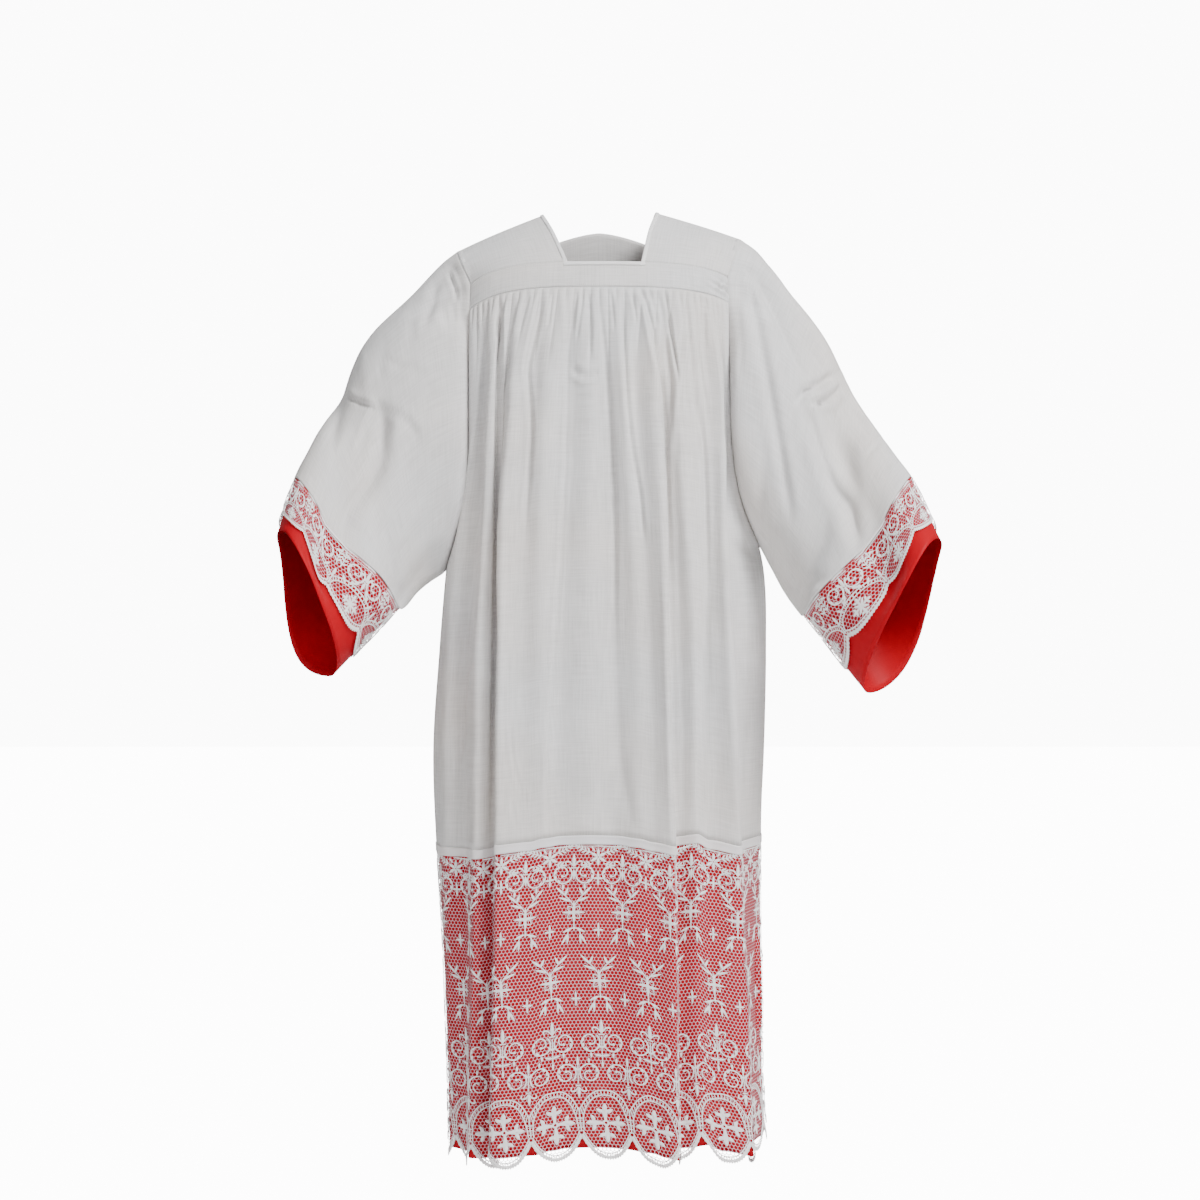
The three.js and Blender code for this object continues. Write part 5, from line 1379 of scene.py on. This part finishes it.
def bent_mesh(name, corners, faces, place, material):
    """Flat lace laid on the cloth: place turns flat s, t and height into points of the worn lace."""
    s, t, height = corners[:, 0], -corners[:, 1], corners[:, 2]
    points = place(s, t, height) * 0.001
    sizes = np.array([len(face) for face in faces])
    mesh = bpy.data.meshes.new(name)
    mesh.vertices.add(len(points))
    mesh.vertices.foreach_set("co", points.astype(np.float32).ravel())
    mesh.loops.add(int(sizes.sum()))
    mesh.loops.foreach_set("vertex_index", np.concatenate(faces).astype(np.int32))
    mesh.polygons.add(len(faces))
    mesh.polygons.foreach_set("loop_start", np.concatenate([[0], np.cumsum(sizes)[:-1]]).astype(np.int32))
    mesh.polygons.foreach_set("use_smooth", np.ones(len(faces), bool))
    layer = mesh.uv_layers.new(name="cloth")
    flat = np.stack([s, -t], -1) * 0.001
    layer.data.foreach_set("uv", flat[np.concatenate(faces)].astype(np.float32).ravel())
    mesh.update(calc_edges=True)
    mesh.validate()
    mesh.materials.append(material)
    return placed(name, mesh)


def trimmed(corners, faces, keep):
    """Only the faces whose corners all pass."""
    faces = [face for face in faces if keep[face].all()]
    used = np.zeros(len(corners), bool)
    used[np.concatenate(faces)] = True
    fresh = np.cumsum(used) - 1
    return corners[used], [fresh[face] for face in faces]


def on_sheet(heights, points, directions, lift, s_share, t):
    """Places on a sheet at shares of its width and distances below its top, moved out by lift."""
    columns = points.shape[1] - 1
    i = np.clip(s_share * columns, 0, columns - 1e-6)
    j = np.clip(np.interp(t, heights, np.arange(len(heights))), 0, len(heights) - 1 - 1e-6)
    i0, j0 = i.astype(int), j.astype(int)
    a, b = (i - i0)[:, None], (j - j0)[:, None]

    def at(values):
        upper = mix(values[j0, i0], values[j0, i0 + 1], a)
        lower = mix(values[j0 + 1, i0], values[j0 + 1, i0 + 1], a)
        return mix(upper, lower, b)

    return at(points) + at(directions) * lift[:, None]


def thread_material(name, light, dark):
    """Cotton thread: fine twisted strands, with painted light and shade that follow their relief: brighter on
    top and darker between.
    """
    material, tree, shader = new_material(name, 0.8)
    shader.inputs["Sheen Weight"].default_value = 0.08
    place = node(tree, "ShaderNodeTexCoord").outputs["Object"]
    twist = node(tree, "ShaderNodeTexNoise", {"Scale": 1800, "Detail": 2, "Vector": place}).outputs[0]
    tree.links.new(colour_mix(tree, twist, (*dark, 1), (*light, 1)), shader.inputs["Base Color"])
    relief = node(tree, "ShaderNodeBump", {"Strength": 0.4, "Distance": 0.0003, "Height": twist})
    tree.links.new(relief.outputs[0], shader.inputs["Normal"])
    return material


# painted light: the net's fine white thread is coloured pink for the lining's red light that shines through
# it and bounces onto it; the motifs' heavier thread stays white
net_thread = thread_material("lace_net_thread", (0.82, 0.54, 0.58), (0.66, 0.36, 0.41))
motif_thread = thread_material("lace_motif_thread", (0.97, 0.95, 0.95), (0.88, 0.86, 0.86))

net_points, net_faces = net_piece(NET_PITCH, NET_ROW, NET_STRAND)


def lace_net(name, node_name, place, wide, columns, drop, keep):
    """The net of one lace; keep says which of its corners lie inside its edges."""
    rows = int(drop / (2 * NET_ROW)) + 1
    corners, faces = repeated(
        net_points, net_faces, columns, rows, wide / columns, 2 * NET_ROW, NET_WELD, net_thread)
    corners[:, 1] -= rows * 2 * NET_ROW + 1
    corners, faces = trimmed(corners, faces, keep(corners[:, 0], -corners[:, 1]))
    net = bent_mesh(name, corners, faces, place, net_thread)
    name_piece(net, [node_name])
    return net


for face in ("front", "back"):
    wide = float(even_places(face, TAPE_Z - 220, 10)[1])
    repeat = wide / SCALLOPS_PANEL

    def place(s, t, height, sheet=skirt[face], wide=wide):
        return on_sheet(*sheet, height + NET_LIFT, np.clip(s / wide, 0, 1), t)

    def inside(s, t, wide=wide, repeat=repeat):
        edge = scallop_edge(s / repeat, LACE_DROP, SCALLOP_DEPTH)
        return (t > 12.5) & (t < edge - 1.8) & (s > -1.5) & (s < wide + 1.5)

    net = lace_net(f"lace_net_{face}", f"lace_{face}", place, wide, int(wide / NET_PITCH), LACE_DROP, inside)
    work = skirt_repeat(repeat)
    corners, faces = repeated(work.points, work.faces, SCALLOPS_PANEL + 1, 1, repeat, 1.0, 0.0, motif_thread)
    corners[:, 0] -= repeat / 2
    corners, faces = trimmed(corners, faces, (corners[:, 0] > -0.4) & (corners[:, 0] < wide + 0.4))
    raised = bent_mesh(f"lace_motifs_{face}", corners, faces, place, motif_thread)
    name_piece(raised, [f"lace_{face}"])


# ---- Cuff lace ----------------------------------------------------------------------------------------
# A narrower lace of the same make round each sleeve's end, closer worked: a row of scrolls, then small
# arches that frame a petalled cross in each scallop. The lining goes on below it.
CUFF_DROP = CUFF_LENGTH * CUFF_LACE


def cuff_repeat(wide):
    """One repeat of the cuff lace, as wide as a scallop and centred on it."""
    work = Threads()
    half = wide / 2
    work.cord([(-half, 1.4), (0, 1.4), (half, 1.4)], 2.4)
    work.cord([(-half, 5.0), (0, 5.0), (half, 5.0)], 1.2)
    for side in (-1, 1):
        work.scroll(side * 14.5, 21, 11.5, side, 1, 2.2)
        work.fern(side * (half - 2.5), 31, 90 + side * 12, 20, 3, -side * 0.6)
        work.leaf(side * 6, 31, -90 + side * 46, 11, 3.2)
        work.leaf(side * 27, 36, -90 - side * 34, 11, 3.2)
        work.leaf(side * 27, 12, 90 - side * 60, 9, 3.0)
        work.leaf(side * 13, 34, -90 + side * 10, 8, 3.2)
    work.fleur(0, 22, 16)
    work.leaf(0, 24, -90, 12, 3.8)
    work.leaf(half, 36, -90, 14, 4.0)
    work.arch(half, 38, 50, 62, 5.0, 17)
    work.fleury_cross(0, 60, 15)
    for k in range(4):
        work.leaf(0, 60, 45 + 90 * k, 11, 3.6)
    work.scalloped_band(wide, CUFF_DROP, CUFF_SCALLOP_DEPTH, 18)
    return work


for side_name in SIDES:
    ways, points, directions = cuffs[side_name]
    middle = points[len(ways) // 3]
    around = float(np.linalg.norm(np.roll(middle, -1, axis=0) - middle, axis=1).sum())
    repeat = around / SCALLOPS_CUFF
    sheet = ((ways - 1) * CUFF_LENGTH, np.concatenate([points, points[:, :1]], 1),
             np.concatenate([directions, directions[:, :1]], 1))

    def place(s, t, height, sheet=sheet, around=around):
        return on_sheet(*sheet, height, (s / around) % 1, t)

    def inside(s, t, repeat=repeat):
        return (t > 0.3) & (t < scallop_edge(s / repeat, CUFF_DROP, CUFF_SCALLOP_DEPTH) - 1.6)

    net = lace_net(f"cuff_net_{side_name}", f"cuff_lace_{side_name}", place, around,
                   round(around / NET_PITCH), CUFF_DROP, inside)
    work = cuff_repeat(repeat)
    corners, faces = repeated(work.points, work.faces, SCALLOPS_CUFF, 1, repeat, 1.0, 0.0, motif_thread)
    corners[:, 0] += repeat / 2
    raised = bent_mesh(f"cuff_motifs_{side_name}", corners, faces, place, motif_thread)
    name_piece(raised, [f"cuff_lace_{side_name}"])


# ---- Stitching ----------------------------------------------------------------------------------------
# White cotton thread, sewn by machine in short even stitches: along both edges of the tape and the neck
# edging, beside every seam of the yoke and round the end of each sleeve, where the lace is sewn on.
SHORTEST_STITCH, LONGEST_STITCH = 0.86, 1.06
STITCH_SEED = 4
FINE_THREAD = 0.00055


def sewn_line_tree():
    """Lays single stitches along each given line, in the line's direction and flat on the cloth."""
    tree = bpy.data.node_groups.new("sewn_line", "GeometryNodeTree")
    source, result = open_group(tree, (
        ("Geometry", "Geometry"), ("Spacing", "Float"), ("Stitch Length", "Float"), ("Thread Width", "Float"),
        ("Seed", "Int"), ("Thread", "Material")))
    line = node(tree, "GeometryNodeMeshToCurve", {"Mesh": source["Geometry"]})
    spaced = node(tree, "GeometryNodeResampleCurve", {"Curve": line.outputs["Curve"]}, mode="LENGTH")
    tree.links.new(source["Spacing"], spaced.inputs["Length"])
    outside = node(tree, "GeometryNodeInputNamedAttribute", data_type="FLOAT_VECTOR")
    outside.inputs["Name"].default_value = "out"
    way = node(tree, "GeometryNodeInputTangent")
    along = node(tree, "FunctionNodeAlignRotationToVector", {"Vector": way.outputs[0]}, axis="X")
    flat = node(tree, "FunctionNodeAlignRotationToVector", {
        "Rotation": along.outputs[0], "Vector": outside.outputs["Attribute"]}, axis="Z", pivot_axis="X")
    stitch = node(tree, "GeometryNodeMeshUVSphere", {"Segments": 6, "Rings": 3, "Radius": 0.5})
    drawn = node(tree, "FunctionNodeRandomValue", {
        2: SHORTEST_STITCH, 3: LONGEST_STITCH, "Seed": source["Seed"]}, data_type="FLOAT")
    uneven_length = node(tree, "ShaderNodeMath", {0: drawn.outputs[1], 1: source["Stitch Length"]},
                         operation="MULTIPLY")
    size = node(tree, "ShaderNodeCombineXYZ", {
        "X": uneven_length.outputs[0], "Y": source["Thread Width"], "Z": source["Thread Width"]})
    sewn = node(tree, "GeometryNodeInstanceOnPoints", {
        "Points": spaced.outputs["Curve"], "Instance": stitch.outputs["Mesh"], "Rotation": flat.outputs[0],
        "Scale": size.outputs[0]})
    real = node(tree, "GeometryNodeRealizeInstances", {0: sewn.outputs[0]})
    paint = node(tree, "GeometryNodeSetMaterial", {"Geometry": real.outputs[0], "Material": source["Thread"]})
    tree.links.new(paint.outputs[0], result.inputs[0])
    return tree


SEWN_LINE = sewn_line_tree()
sewing_thread = thread_material("sewing_thread", (0.93, 0.92, 0.91), (0.78, 0.77, 0.76))


def sewn_piece(name, lines, spacing, length, width):
    """Stitches along lines of (points in millimetres, directions out of the cloth)."""
    points = np.concatenate([line for line, _ in lines]) * 0.001
    directions = np.concatenate([out for _, out in lines])
    edges, start = [], 0
    for line, _ in lines:
        edges += [(k, k + 1) for k in range(start, start + len(line) - 1)]
        start += len(line)
    mesh = bpy.data.meshes.new(f"{name}_line")
    mesh.from_pydata(points.tolist(), edges, [])
    mesh.attributes.new("out", "FLOAT_VECTOR", "POINT").data.foreach_set("vector", directions.ravel())
    plain = through_group(f"{name}_line", mesh, SEWN_LINE, {
        "Spacing": spacing, "Stitch Length": length, "Thread Width": width, "Seed": STITCH_SEED,
        "Thread": sewing_thread})
    plain.name = name
    plain.polygons.foreach_set("use_smooth", np.ones(len(plain.polygons), bool))
    thing = placed(name, plain)
    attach(thing, "root")


def seam_line(rows, lift, closed=False):
    """A line on the first of two rows of cloth points, a little above the cloth."""
    rows = np.asarray(rows, float)
    if closed:
        rows = np.concatenate([rows[:, -1:], rows, rows[:, :2]], 1)
    out = outward(rows)[0]
    if closed:
        rows, out = rows[:, 1:-1], out[1:-1]
    return rows[0] + out * lift, out


def yoke_line(share, z, face):
    return seam_line([on_yoke(share, z, face), on_yoke(share, z - 1, face)], 0.1)


chest, nape = np.linspace(-0.985, 0.985, 160), np.linspace(0.985, -0.985, 140)
yoke_lines = [yoke_line(chest, yoke_seam(chest, "front") + SEAM + up, "front") for up in (2.4, 4.2)]
yoke_lines.append(yoke_line(nape, yoke_seam(nape, "back") + SEAM + 2.4, "back"))
for side_name, side in SIDES.items():
    strap = np.linspace(NECK_SHARE[side_name] + 0.03, 0.985, 60)[::side.sign] * side.sign
    yoke_lines.append(yoke_line(strap, band_top(strap) - 2.2, "front"))
    over = np.linspace(1, 0, 90)
    beside_arm = [shoulder_points(side_name, np.full(90, r), over) for r in (0.975, 0.96)]
    line, out = seam_line(beside_arm, 0.0)
    out = out * np.sign(out[:, 2:3])
    yoke_lines.append((line + 0.05 * out, out))
trim_rows = np.concatenate([edging, edging[:, :1]], 1)
trim_out = outward(np.concatenate([edging[:, -1:], edging, edging[:, :2]], 1))[2, 1:-1]
for share in (0.26, 0.82):
    yoke_lines.append((mix(trim_rows[0], trim_rows[4], share) + trim_out * 0.5, trim_out))
sewn_piece("yoke_stitches", yoke_lines, 0.0028, 0.0023, FINE_THREAD)

tape_lines = []
for face in ("front", "back"):
    for height in (1.9, 10.1):
        tape_lines.append(seam_line(skirt_points(face, np.array([height, height + 1]), 420), 0.95))
sewn_piece("tape_stitches", tape_lines, 0.0030, 0.0024, 0.0006)

sleeve_lines = [seam_line(sleeve_points(side_name, np.array([0.978, 0.985]), round_turns), 0.1, closed=True)
                for side_name in SIDES]
sewn_piece("sleeve_end_stitches", sleeve_lines, 0.0030, 0.0024, FINE_THREAD)
